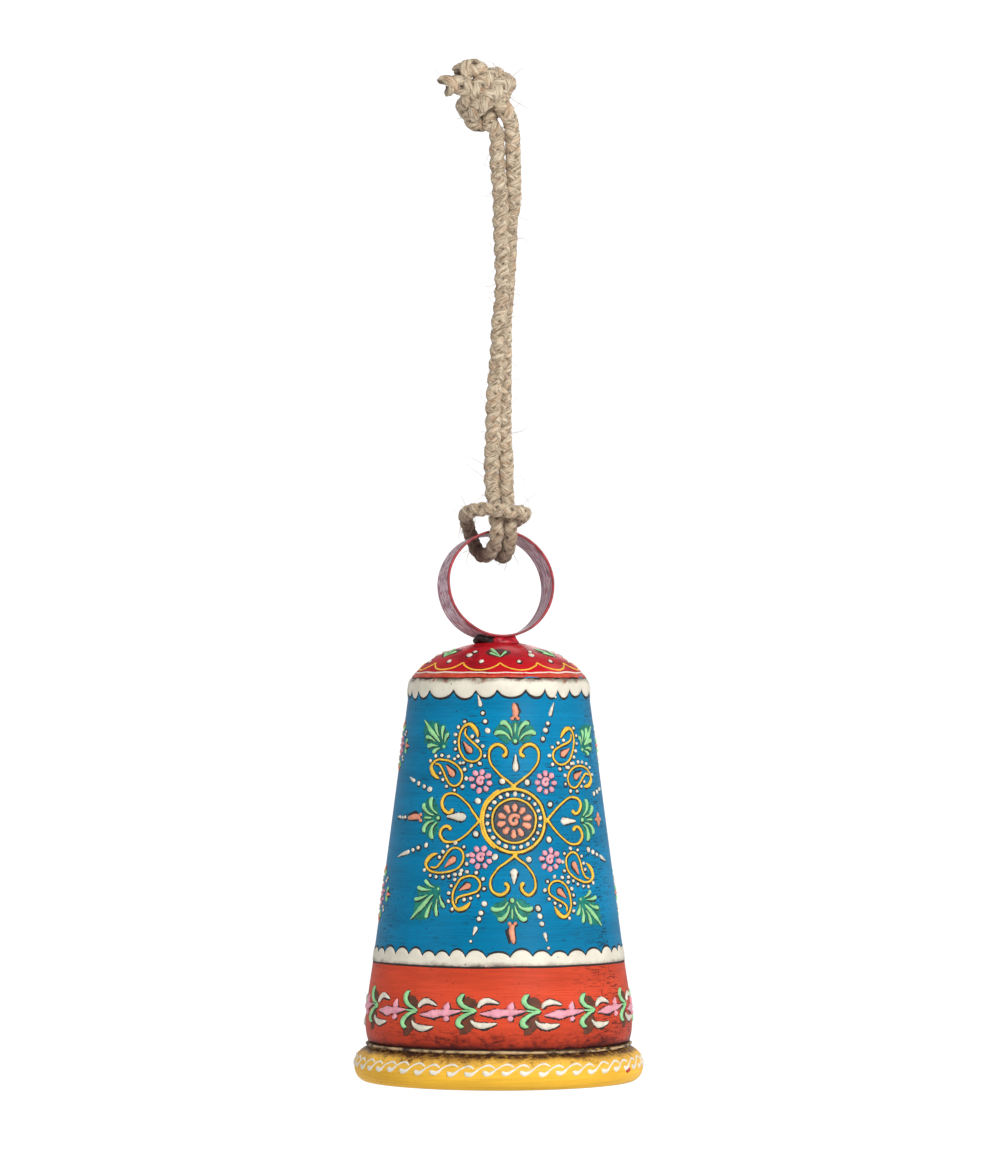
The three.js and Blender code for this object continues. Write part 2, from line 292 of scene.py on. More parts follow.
PROFILE = outer_profile()
PROFILE_RUN = [0.0]
for (r0, z0), (r1, z1) in zip(PROFILE, PROFILE[1:]):
    PROFILE_RUN.append(PROFILE_RUN[-1] + math.hypot(r1 - r0, z1 - z0))


PROFILE_DEPTH = [-height for _, height in PROFILE]
CROWN_RADII = [radius for radius, height in PROFILE if height >= CROWN_FOOT]


def between(keys, k, value):
    """How far a value lies between two neighbouring keys, 0 to 1."""
    return (value - keys[k - 1]) / max(keys[k] - keys[k - 1], 1e-9)


def run_at(height):
    """Distance down the profile from the apex to a height."""
    k = min(max(bisect.bisect_left(PROFILE_DEPTH, -height), 1), len(PROFILE) - 1)
    share = min(max(between(PROFILE_DEPTH, k, -height), 0.0), 1.0)
    return PROFILE_RUN[k - 1] + share * (PROFILE_RUN[k] - PROFILE_RUN[k - 1])


def on_profile(run):
    """Radius, height and outward normal (radial, up) at a distance down the profile."""
    run = min(max(run, 0.0), PROFILE_RUN[-1])
    k = min(max(bisect.bisect_left(PROFILE_RUN, run), 1), len(PROFILE_RUN) - 1)
    (ra, za), (rb, zb) = PROFILE[k - 1], PROFILE[k]
    length = max(PROFILE_RUN[k] - PROFILE_RUN[k - 1], 1e-6)
    share = between(PROFILE_RUN, k, run)
    return ra + (rb - ra) * share, za + (zb - za) * share, (za - zb) / length, (rb - ra) / length


def wobble(angle, height, reach):
    """The small error of hand-worked sheet metal."""
    place = Vector((math.cos(angle) * 1.3, math.sin(angle) * 1.3, height * 0.022))
    return noise.noise(place) * reach


def on_bell(angle, run, lift=0.0):
    """A point on the outer face: angle is from the front, turning towards +X; run is down the profile."""
    radius, height, out, up = on_profile(run)
    reach = bpy.context.scene.bell_form.wobble / MM * min(1.0, radius / 12)
    radius += wobble(angle, height, reach) + lift * out
    return Vector((radius * math.sin(angle), -radius * math.cos(angle), height + lift * up))


def seat(point, lift):
    """The spot on the outer face nearest a point beside it, raised by lift."""
    angle = math.atan2(point.x, -point.y)
    if point.z <= CROWN_FOOT:
        return on_bell(angle, run_at(point.z), lift)
    radius = math.hypot(point.x, point.y)
    k = min(max(bisect.bisect_left(CROWN_RADII, radius), 1), len(CROWN_RADII) - 1)
    share = min(between(CROWN_RADII, k, radius), 1.0)
    return on_bell(angle, PROFILE_RUN[k - 1] + share * (PROFILE_RUN[k] - PROFILE_RUN[k - 1]), lift)


class Patch:
    """A place on the bell where ornament is drawn in millimetres: u to the right, v up."""

    def __init__(self, azimuth, height, turn=0.0, scale=1.0):
        self.azimuth = azimuth
        self.run = run_at(height)
        self.turn = turn
        self.scale = scale

    def spot(self, u, v):
        c, s = math.cos(self.turn) * self.scale, math.sin(self.turn) * self.scale
        right, up = u * c - v * s, u * s + v * c
        run = self.run - up
        return on_bell(self.azimuth + right / max(on_profile(run)[0], 2.0), run)


class Relief:
    """Collects raised enamel of one colour, each stroke a closed shell sunk a little into the face."""
    SINK = 0.10
    ARCH = tuple((math.cos(math.pi * k / 5), math.sin(math.pi * k / 5)) for k in range(6))

    def __init__(self, seed=1):
        self.store = ([], [])
        self.dice = random.Random(seed)
        self.drift = Vector((seed * 3.7, 0.0, 0.0))

    def stroke(self, spot, line, width, height=0.4, taper=(0.35, 0.35), step=0.45, jitter=0.06):
        """A brushed line; width is one number, or one for each knot of the line."""
        knots = width if isinstance(width, (list, tuple)) else [width] * len(line)
        flat = smooth_line([(u, v, w) for (u, v), w in zip(line, knots)], step)
        centres = [spot(p.x, p.y) for p in flat]
        reach = [0.0]
        for a, b in zip(centres, centres[1:]):
            reach.append(reach[-1] + (b - a).length)
        verts = []
        last = len(flat) - 1
        for k, p in enumerate(centres):
            normal = (seat(p, 1.0) - p).normalized()
            side = (centres[min(k + 1, last)] - centres[max(k - 1, 0)]).cross(normal).normalized()
            p = p + side * 0.16 * noise.noise(p * 0.35 + self.drift)
            near = min(1.0, (reach[k] + 0.02) / max(taper[0], 0.01),
                       (reach[-1] - reach[k] + 0.02) / max(taper[1], 0.01))
            shake = 1 + self.dice.uniform(-jitter, jitter) * 2
            wide = max(0.05, flat[k].z * math.sqrt(near) * shake)
            rise = height * min(1.0, wide / 1.1)
            for across, up in self.ARCH:
                verts.append(seat(p + side * across * wide / 2, up * rise))
            verts.append(seat(p - side * wide / 2, -self.SINK))
            verts.append(seat(p + side * wide / 2, -self.SINK))
        add_part(self.store, (verts, capped_faces(len(flat), len(self.ARCH) + 2)))

    def drop(self, spot, tail, head, width, height=0.45, bend=0.0, tail_share=0.2):
        """A teardrop from a thin tail to a full head."""
        (u0, v0), (u1, v1) = tail, head
        length = math.hypot(u1 - u0, v1 - v0)
        side = (-(v1 - v0) / length * bend, (u1 - u0) / length * bend)
        line = [(u0 + (u1 - u0) * t + side[0] * math.sin(math.pi * t),
                 v0 + (v1 - v0) * t + side[1] * math.sin(math.pi * t)) for t in (0, 0.33, 0.66, 1)]
        width *= self.dice.uniform(0.9, 1.1)
        middle = 0.45 + tail_share * 0.5
        self.stroke(spot, line, [width * tail_share, width * middle, width * 0.95, width], height,
                    taper=(0.2, width * 0.45), step=0.28)

    def dot(self, spot, u, v, radius, height=0.38):
        """A small dome of enamel, seldom quite round."""
        u += self.dice.uniform(-0.08, 0.08)
        v += self.dice.uniform(-0.08, 0.08)
        radius *= self.dice.uniform(0.86, 1.12)
        long, lean = self.dice.uniform(1.0, 1.22), self.dice.uniform(0, math.pi)
        foot = spot(u, v)
        out = (seat(foot, 1.0) - foot).normalized()
        east = Vector((0, 0, 1)).cross(out).normalized()
        north = out.cross(east)
        c, s = math.cos(lean), math.sin(lean)
        sides = 10
        verts = []
        for share, rise in ((1.0, -self.SINK), (1.0, 0.12), (0.86, 0.55), (0.5, 0.9)):
            for k in range(sides):
                turn = math.tau * k / sides
                a, b = math.cos(turn) * long, math.sin(turn)
                way = east * (a * c - b * s) + north * (a * s + b * c)
                verts.append(seat(foot + way * radius * share, rise if rise < 0 else rise * height))
        verts.append(seat(foot, height))
        faces = loop_faces(4, sides)
        top = 3 * sides
        faces += [(top + k, top + (k + 1) % sides, len(verts) - 1) for k in range(sides)]
        faces.append(tuple(reversed(range(sides))))
        add_part(self.store, (verts, faces))

    def build(self, name, finish, slot="skirt_paint"):
        piece = make_object(name, *self.store, [finish])
        face_outwards(piece)
        return ride_bell(piece, slot)


# ---- shader groups ------------

class Nodes:
    """Adds and links nodes in one tree."""

    def __init__(self, tree):
        self.tree = tree

    def add(self, kind, **settings):
        node = self.tree.nodes.new(kind)
        for key, value in settings.items():
            setattr(node, key, value)
        return node

    def link(self, source, target):
        self.tree.links.new(source, target)

    def feed(self, socket, value):
        if isinstance(value, bpy.types.NodeSocket):
            self.link(value, socket)
        elif isinstance(value, (tuple, list)) and len(value) == 3 and socket.type == "RGBA":
            socket.default_value = (*value, 1)
        else:
            socket.default_value = value

    def place(self):
        """Where a point lies on the object, in metres."""
        return self.add("ShaderNodeTexCoord").outputs["Object"]

    def split(self, place):
        node = self.add("ShaderNodeSeparateXYZ")
        self.link(place, node.inputs[0])
        return node.outputs

    def fact(self, name):
        """A number stored at each point of the mesh."""
        return self.add("ShaderNodeAttribute", attribute_name=name).outputs["Fac"]

    def scaled(self, colour, amount):
        node = self.add("ShaderNodeVectorMath", operation="SCALE")
        self.feed(node.inputs[0], colour)
        self.feed(node.inputs["Scale"], amount)
        return node.outputs[0]

    def times(self, a, b):
        return self.maths("MULTIPLY", a, b)

    def maths(self, operation, a, b=0.0, clamp=False):
        node = self.add("ShaderNodeMath", operation=operation, use_clamp=clamp)
        self.feed(node.inputs[0], a)
        self.feed(node.inputs[1], b)
        return node.outputs[0]

    def blend(self, factor, a, b, mode="MIX"):
        node = self.add("ShaderNodeMix", data_type="RGBA", blend_type=mode)
        self.feed(node.inputs[0], factor)
        self.feed(node.inputs[6], a)
        self.feed(node.inputs[7], b)
        return node.outputs[2]

    def ramp(self, value, low, high, to_low=0.0, to_high=1.0):
        node = self.add("ShaderNodeMapRange", interpolation_type="SMOOTHSTEP")
        for key, number in (("From Min", low), ("From Max", high), ("To Min", to_low), ("To Max", to_high)):
            node.inputs[key].default_value = number
        self.feed(node.inputs["Value"], value)
        return node.outputs[0]

    def noise(self, place, scale, detail=4.0, roughness=0.6, distortion=0.0):
        """Fractal noise; scale is one number, or one for each direction."""
        if isinstance(scale, tuple):
            place, scale = self.stretch(place, scale), 1.0
        node = self.add("ShaderNodeTexNoise")
        self.feed(node.inputs["Vector"], place)
        for key, value in (("Scale", scale), ("Detail", detail), ("Roughness", roughness),
                           ("Distortion", distortion)):
            self.feed(node.inputs[key], value)
        return node.outputs["Fac"]

    def stretch(self, place, scale):
        node = self.add("ShaderNodeVectorMath", operation="MULTIPLY")
        self.feed(node.inputs[0], place)
        node.inputs[1].default_value = scale
        return node.outputs[0]


def shader_group(name, inputs, outputs, draw):
    """A node group with named sockets; draw gets the helper, the input sockets and the output node."""
    found = bpy.data.node_groups.get(name)
    if found:
        return found
    tree = bpy.data.node_groups.new(name, "ShaderNodeTree")
    for label, kind, default in inputs:
        socket = tree.interface.new_socket(label, in_out="INPUT", socket_type=kind)
        socket.default_value = default
    for label, kind in outputs:
        tree.interface.new_socket(label, in_out="OUTPUT", socket_type=kind)
    helper = Nodes(tree)
    source = helper.add("NodeGroupInput")
    sink = helper.add("NodeGroupOutput")
    draw(helper, source.outputs, sink.inputs)
    return tree


def antique_wash_group():
    """Dark dirt left in brush lines and in specks, over paint laid on with a stiff brush."""
    def draw(n, given, sent):
        place = n.place()
        bristles = n.noise(place, (55, 55, 2600), 4, 0.6)
        strokes = n.noise(place, (230, 230, 2300), 2, 0.5)
        patches = n.noise(place, 42, 4, 0.65)
        specks = n.noise(place, 1150, 2, 0.5)
        lines = n.ramp(strokes, 0.57, 0.66)
        where = n.ramp(patches, 0.50, 0.64)
        streak_mask = n.times(n.times(lines, where), given["Streaks"])
        dotty = n.ramp(specks, 0.65, 0.72)
        speck_where = n.ramp(n.noise(place, 75, 3, 0.6), 0.46, 0.60)
        speck_mask = n.times(n.times(dotty, speck_where), given["Specks"])
        both = n.maths("MAXIMUM", streak_mask, speck_mask, clamp=True)
        n.link(both, sent["Mask"])
        fine = n.ramp(bristles, 0.3, 0.7, 0.90, 1.10)
        broad = n.ramp(n.noise(place, (14, 14, 90), 4, 0.6), 0.3, 0.7, 0.84, 1.14)
        shade = n.scaled(given["Paint"], n.times(fine, broad))
        n.link(n.blend(both, shade, given["Dirt"]), sent["Colour"])
        n.link(n.maths("ADD", n.times(bristles, 0.7), n.times(specks, 0.2)), sent["Height"])
    return shader_group(
        "Antique Wash",
        [("Paint", "NodeSocketColor", (0.5, 0.5, 0.5, 1)), ("Dirt", "NodeSocketColor", (0.03, 0.02, 0.02, 1)),
         ("Streaks", "NodeSocketFloat", 0.8), ("Specks", "NodeSocketFloat", 0.8)],
        [("Colour", "NodeSocketColor"), ("Mask", "NodeSocketFloat"), ("Height", "NodeSocketFloat")], draw)


def height_mask_group():
    """One from a low height to a high one, with a ragged edge; heights in metres."""
    def draw(n, given, sent):
        place = n.place()
        ragged = n.times(n.maths("SUBTRACT", n.noise(place, 130, 5, 0.7), 0.5), given["Ragged"])
        height = n.maths("ADD", n.split(place)["Z"], ragged)
        rise = n.add("ShaderNodeMapRange", interpolation_type="SMOOTHSTEP")
        n.link(height, rise.inputs["Value"])
        n.feed(rise.inputs["From Min"], given["From"])
        n.feed(rise.inputs["From Max"], given["To"])
        n.link(rise.outputs[0], sent["Mask"])
    return shader_group(
        "Height Mask",
        [("From", "NodeSocketFloat", 0.0), ("To", "NodeSocketFloat", 1.0),
         ("Ragged", "NodeSocketFloat", 0.004)],
        [("Mask", "NodeSocketFloat")], draw)


def new_finish(name, roughness=0.5, metallic=0.0, coat=0.0, specular=0.5):
    """An empty material with its Principled shader, and the node helper to fill it."""
    finish = bpy.data.materials.new(name)
    finish.use_nodes = True
    n = Nodes(finish.node_tree)
    shader = finish.node_tree.nodes["Principled BSDF"]
    shader.inputs["Roughness"].default_value = roughness
    shader.inputs["Metallic"].default_value = metallic
    shader.inputs["Coat Weight"].default_value = coat
    shader.inputs["Coat Roughness"].default_value = 0.22
    shader.inputs["Specular IOR Level"].default_value = specular
    return finish, n, shader


def bump(n, shader, height, strength, distance):
    node = n.add("ShaderNodeBump")
    node.inputs["Strength"].default_value = strength
    node.inputs["Distance"].default_value = distance
    n.link(height, node.inputs["Height"])
    n.link(node.outputs[0], shader.inputs["Normal"])


def group_node(n, tree, **values):
    node = n.add("ShaderNodeGroup", node_tree=tree)
    for key, value in values.items():
        n.feed(node.inputs[key], value)
    return node


def height_mask(n, low, high, ragged):
    return group_node(n, height_mask_group(), From=low * MM, To=high * MM, Ragged=ragged * MM).outputs["Mask"]


def painted_metal(name, paint, dirt, streaks=0.8, specks=0.8, extra=None):
    """Brushed-on paint with an antique wash; extra may lay more colour over it."""
    finish, n, shader = new_finish(name, 0.42, 0.0, 0.0, 0.09)
    wash = group_node(n, antique_wash_group(), Paint=paint, Dirt=dirt, Streaks=streaks, Specks=specks)
    colour = wash.outputs["Colour"]
    if extra:
        colour = extra(n, colour)
    n.link(colour, shader.inputs["Base Color"])
    n.link(n.ramp(wash.outputs["Mask"], 0, 1, 0.38, 0.66), shader.inputs["Roughness"])
    bump(n, shader, wash.outputs["Height"], 0.3, 0.00025)
    return finish


def enamel(name, colour, dark=0.72, roughness=0.36):
    """Thick brushed enamel: a little streaky, with grime caught here and there."""
    finish, n, shader = new_finish(name, roughness, 0.0, 0.0, 0.4)
    place = n.place()
    tone = n.ramp(n.noise(place, 420, 4, 0.6), 0.34, 0.66, dark, 1.08)
    shade = n.scaled(colour, tone)
    grime = n.times(n.ramp(n.noise(place, 1500, 3, 0.5), 0.66, 0.76), 0.55)
    dark_spot = tuple(c * 0.16 for c in colour)
    n.link(n.blend(grime, shade, dark_spot), shader.inputs["Base Color"])
    bump(n, shader, n.noise(place, 800, 3, 0.6), 0.3, 0.00012)
    return finish


def cream_finish(name, colour, dirty_edge=None, chips=0.0):
    """Flat cream with dark nicks; dirt and red chips thicken between the two heights of dirty_edge."""
    finish, n, shader = new_finish(name, 0.42, 0.0, 0.0, 0.35)
    place = n.place()
    tone = n.ramp(n.noise(place, 160, 4, 0.6), 0.3, 0.7, 0.90, 1.05)
    paint = n.scaled(colour, tone)
    nicks = n.times(n.ramp(n.noise(place, 620, 4, 0.6), 0.66, 0.71),
                    n.ramp(n.noise(place, 60, 3, 0.6), 0.46, 0.58))
    paint = n.blend(n.times(nicks, 0.9), paint, (0.06, 0.04, 0.028))
    if dirty_edge:
        grime = height_mask(n, dirty_edge[0], dirty_edge[1], 3.8)
        patchy = n.ramp(n.noise(place, 210, 4, 0.65), 0.38, 0.56, 0.25, 0.9)
        paint = n.blend(n.times(grime, patchy), paint, (0.10, 0.055, 0.030))
        flaked = n.times(n.ramp(n.noise(place, 430, 3, 0.6), 0.56, 0.60), height_mask(n, *dirty_edge, 6.0))
        paint = n.blend(n.times(flaked, chips), paint, (0.30, 0.065, 0.022))
    n.link(paint, shader.inputs["Base Color"])
    bump(n, shader, n.noise(place, 500, 3, 0.6), 0.3, 0.00012)
    return finish


def wash_film(name, colour, cover=0.85):
    """A thin, patchy film of dark paint on the ground colour."""
    finish, n, shader = new_finish(name, 0.6)
    place = n.place()
    tone = n.ramp(n.noise(place, 500, 3, 0.6), 0.3, 0.7, 0.7, 1.3)
    shade = n.scaled(colour, tone)
    n.link(shade, shader.inputs["Base Color"])
    n.link(n.ramp(n.noise(place, 330, 4, 0.7), 0.34, 0.50, 0.6 * cover, cover), shader.inputs["Alpha"])
    return finish


def skirt_finish(paint):
    """Blue above, orange-red on the band, with dirt gathered at the neck."""
    def extra(n, colour):
        place = n.place()
        along = n.split(place)
        wash = group_node(n, antique_wash_group(), Paint=tuple(paint.orange_red), Dirt=tuple(paint.dirt),
                          Streaks=0.55, Specks=0.5)
        band = n.ramp(along["Z"], -264.4 * MM, -264.0 * MM, 1.0, 0.0)
        colour = n.blend(band, colour, wash.outputs["Colour"])
        worn_side = n.ramp(n.noise(place, (34, 34, 16), 3, 0.6), 0.40, 0.57)
        dashes = n.ramp(n.noise(place, (300, 300, 2700), 2, 0.5), 0.55, 0.64)
        right = n.ramp(along["X"], 8 * MM, 30 * MM, 0.12, 1.0)
        uprights = n.ramp(n.noise(place, (1500, 1500, 240), 2, 0.5), 0.62, 0.69, 0.0, 0.7)
        dashes = n.maths("MAXIMUM", dashes, uprights)
        scratched = n.times(n.times(dashes, worn_side), right)
        colour = n.blend(n.times(scratched, 0.85), colour, tuple(paint.dirt))
        grain = n.noise(place, (420, 420, 900), 5, 0.7)
        crust = n.times(height_mask(n, -288.2, -290.2, 2.4), n.ramp(grain, 0.34, 0.50, 0.35, 1.0))
        spread = n.times(height_mask(n, -281.5, -290.0, 12.0), n.ramp(grain, 0.47, 0.60))
        heavy = n.ramp(n.noise(place, 34, 3, 0.6), 0.40, 0.58, 0.35, 1.0)
        stain = n.times(height_mask(n, -283.5, -290.4, 7.0), heavy)
        colour = n.blend(n.times(stain, 0.8), colour, (0.15, 0.014, 0.010))
        grime = n.maths("MAXIMUM", crust, n.times(spread, heavy), clamp=True)
        return n.blend(n.times(grime, 0.92), colour, (0.038, 0.012, 0.013))
    return painted_metal("skirt paint", tuple(paint.blue), tuple(paint.dirt), 0.75, 0.85, extra)


def rim_finish(paint):
    def extra(n, colour):
        place = n.place()
        # Painted highlight: the rim's upper flare turns paler towards the top, as if lit from above.
        painted_top_highlight = n.ramp(n.split(place)["Z"], -299.0 * MM, -293.5 * MM, 0.0, 0.34)
        colour = n.blend(painted_top_highlight, colour, (1.0, 0.64, 0.15))
        grain = n.noise(place, (520, 520, 900), 5, 0.75)
        heavy = n.ramp(n.noise(place, 40, 3, 0.6), 0.38, 0.60, 0.25, 1.0)
        stain = n.times(height_mask(n, -295.8, -292.2, 5.0), heavy)
        colour = n.blend(n.times(stain, 0.6), colour, (0.36, 0.12, 0.03))
        crust = n.times(height_mask(n, -293.8, -292.3, 2.2), n.ramp(grain, 0.36, 0.52, 0.3, 1.0))
        spread = n.times(n.times(height_mask(n, -296.4, -292.4, 5.0), n.ramp(grain, 0.50, 0.60)), heavy)
        return n.blend(n.maths("MAXIMUM", crust, spread, clamp=True), colour, (0.075, 0.028, 0.016))
    return painted_metal("rim paint", tuple(paint.rim_yellow), (0.20, 0.08, 0.02), 0.35, 0.6, extra)


def crown_finish(paint):
    """Crimson laid on unevenly, with darker blotches that are uneven paint and painted shade, and paler
    pinkish patches that are painted highlight, both scattered at random.
    """
    def extra(n, colour):
        place = n.place()
        # Darker blotches: uneven paint and painted shade.
        blotches_and_painted_shade = n.ramp(n.noise(place, 95, 4, 0.65), 0.50, 0.62, 0.0, 0.62)
        colour = n.blend(blotches_and_painted_shade, colour, (0.20, 0.003, 0.010))
        # Paler pinkish patches: a painted highlight.
        thin = n.ramp(n.noise(place, (60, 60, 160), 4, 0.6), 0.56, 0.68, 0.0, 0.35)
        return n.blend(thin, colour, (0.72, 0.09, 0.10))
    return painted_metal("crown paint", tuple(paint.crimson), tuple(paint.dirt), 0.45, 0.5, extra)


def bare_inside_finish():
    """Unpainted iron with soot and rust."""
    finish, n, shader = new_finish("bare inside", 0.6, 0.7)
    place = n.place()
    patches = n.ramp(n.noise(place, 90, 6, 0.65), 0.4, 0.62)
    iron = n.blend(patches, (0.085, 0.078, 0.072), (0.13, 0.065, 0.035))
    n.link(iron, shader.inputs["Base Color"])
    n.link(n.ramp(patches, 0, 1, 0.75, 0.15), shader.inputs["Metallic"])
    n.link(n.ramp(patches, 0, 1, 0.45, 0.85), shader.inputs["Roughness"])
    bump(n, shader, n.noise(place, 700, 5, 0.7), 0.4, 0.0002)
    return finish


def solder_finish(name, colour, shine):
    finish, n, shader = new_finish(name, 0.7, shine)
    place = n.place()
    lumps = n.noise(place, 600, 5, 0.7)
    n.link(n.blend(n.ramp(lumps, 0.35, 0.65), tuple(c * 0.4 for c in colour), colour),
           shader.inputs["Base Color"])
    bump(n, shader, lumps, 0.8, 0.0005)
    return finish


def wire_finish():
    finish, n, shader = new_finish("drawn wire", 0.42, 0.9)
    place = n.place()
    rust = n.ramp(n.noise(place, 260, 6, 0.65), 0.52, 0.68)
    n.link(n.blend(rust, (0.30, 0.28, 0.26), (0.17, 0.075, 0.035)), shader.inputs["Base Color"])
    n.link(n.ramp(rust, 0, 1, 0.35, 0.85), shader.inputs["Roughness"])
    n.link(n.ramp(rust, 0, 1, 0.95, 0.1), shader.inputs["Metallic"])
    bump(n, shader, n.noise(place, (900, 900, 60), 3, 0.6), 0.25, 0.0001)
    return finish


def wood_finish():
    finish, n, shader = new_finish("turned wood", 0.55, 0.0, 0.08)
    place = n.place()
    rings = n.add("ShaderNodeTexWave", wave_type="BANDS", bands_direction="X")
    n.link(n.stretch(place, (1, 1, 0.12)), rings.inputs["Vector"])
    rings.inputs["Scale"].default_value = 210
    rings.inputs["Distortion"].default_value = 5.5
    rings.inputs["Detail"].default_value = 3
    grain = n.noise(place, (700, 700, 45), 4, 0.6)
    base = n.blend(rings.outputs["Fac"], (0.40, 0.20, 0.085), (0.58, 0.34, 0.16))
    n.link(n.blend(n.ramp(grain, 0.5, 0.72, 0, 0.6), base, (0.16, 0.07, 0.03)), shader.inputs["Base Color"])
    bump(n, shader, grain, 0.3, 0.0002)
    return finish


def ring_band_finish():
    """Red paint rubbed back to a mauve haze, with white rubs, dark smears and scratches along the strip."""
    finish, n, shader = new_finish("rubbed ring paint", 0.45, 0.0, 0.0, 0.3)
    turned = n.fact("turned")
    across = n.fact("across")
    place = n.add("ShaderNodeCombineXYZ")
    n.link(turned, place.inputs["X"])
    n.link(across, place.inputs["Y"])
    drawn = n.noise(place.outputs[0], (7, 850, 1), 5, 0.6)
    blots = n.noise(place.outputs[0], (6, 210, 1), 5, 0.7, 0.2)
    haze = n.blend(n.ramp(drawn, 0.36, 0.60), (0.29, 0.11, 0.155), (0.70, 0.48, 0.55))
    rubs = n.times(n.ramp(blots, 0.46, 0.60), n.ramp(drawn, 0.46, 0.58))
    haze = n.blend(n.times(rubs, 0.85), haze, (0.90, 0.83, 0.86))
    red = n.ramp(n.noise(place.outputs[0], (6, 240, 1), 4, 0.6), 0.54, 0.64)
    haze = n.blend(n.times(red, 0.7), haze, (0.40, 0.035, 0.055))
    smears = n.ramp(n.noise(place.outputs[0], (5, 420, 1), 5, 0.65), 0.58, 0.66)
    haze = n.blend(n.times(smears, 0.85), haze, (0.045, 0.018, 0.024))
    rim = n.ramp(n.maths("ABSOLUTE", across, 0.0), 0.0046, 0.0058)
    haze = n.blend(n.times(rim, 0.8), haze, (0.34, 0.02, 0.035))
    n.link(haze, shader.inputs["Base Color"])
    n.link(n.ramp(rubs, 0, 1, 0.40, 0.62), shader.inputs["Roughness"])
    bump(n, shader, drawn, 0.35, 0.0002)
    return finish


def jute_finish():
    """Braided jute: fine fibres along each strand, painted shade in the hollows, a silky sheen."""
    finish, n, shader = new_finish("jute", 0.86)
    run = n.fact("run")
    turn = n.fact("turn")
    tint = n.fact("tint")
    proud = n.fact("proud")
    shade = n.fact("shade")
    place = n.add("ShaderNodeCombineXYZ")
    n.link(turn, place.inputs["X"])
    n.link(n.times(run, 0.11), place.inputs["Y"])
    n.link(n.times(tint, 40), place.inputs["Z"])
    fibres = n.noise(place.outputs[0], 5.0, 6, 0.7, 0.4)
    slow = n.noise(place.outputs[0], 2.4, 3, 0.5)
    straw = n.blend(n.ramp(fibres, 0.36, 0.62), (0.22, 0.14, 0.078), (0.86, 0.72, 0.52))
    straw = n.blend(n.ramp(slow, 0.50, 0.62, 0, 0.34), straw, (0.66, 0.37, 0.20))
    straw = n.blend(n.ramp(tint, 0.45, 0.9, 0, 0.45), straw, (0.88, 0.72, 0.56))
    # Painted shade: the lower a point lies between the strands, the darker it is painted.
    straw = n.blend(n.ramp(proud, -0.22, 0.52, 0.86, 0.0), straw, (0.085, 0.052, 0.032))
    # Painted shade below the ring and on the cord's far side.
    straw = n.blend(n.times(shade, 0.85), straw, (0.115, 0.055, 0.035))
    n.link(straw, shader.inputs["Base Color"])
    shader.inputs["Sheen Weight"].default_value = 0.35
    shader.inputs["Sheen Roughness"].default_value = 0.5
    shader.inputs["Sheen Tint"].default_value = (0.95, 0.85, 0.7, 1)
    bump(n, shader, fibres, 1.0, 0.0007)
    return finish


def fibre_finish():
    finish, n, shader = new_finish("loose fibre", 0.7)
    tint = n.fact("tint")
    n.link(n.blend(tint, (0.26, 0.16, 0.11), (0.66, 0.53, 0.38)), shader.inputs["Base Color"])
    shader.inputs["Sheen Weight"].default_value = 0.3
    return finish


# ---- studio ------------

def aim(thing, target):
    """Turns a light towards a point."""
    thing.rotation_euler = (Vector(target) - thing.location).to_track_quat("-Z", "Y").to_euler()


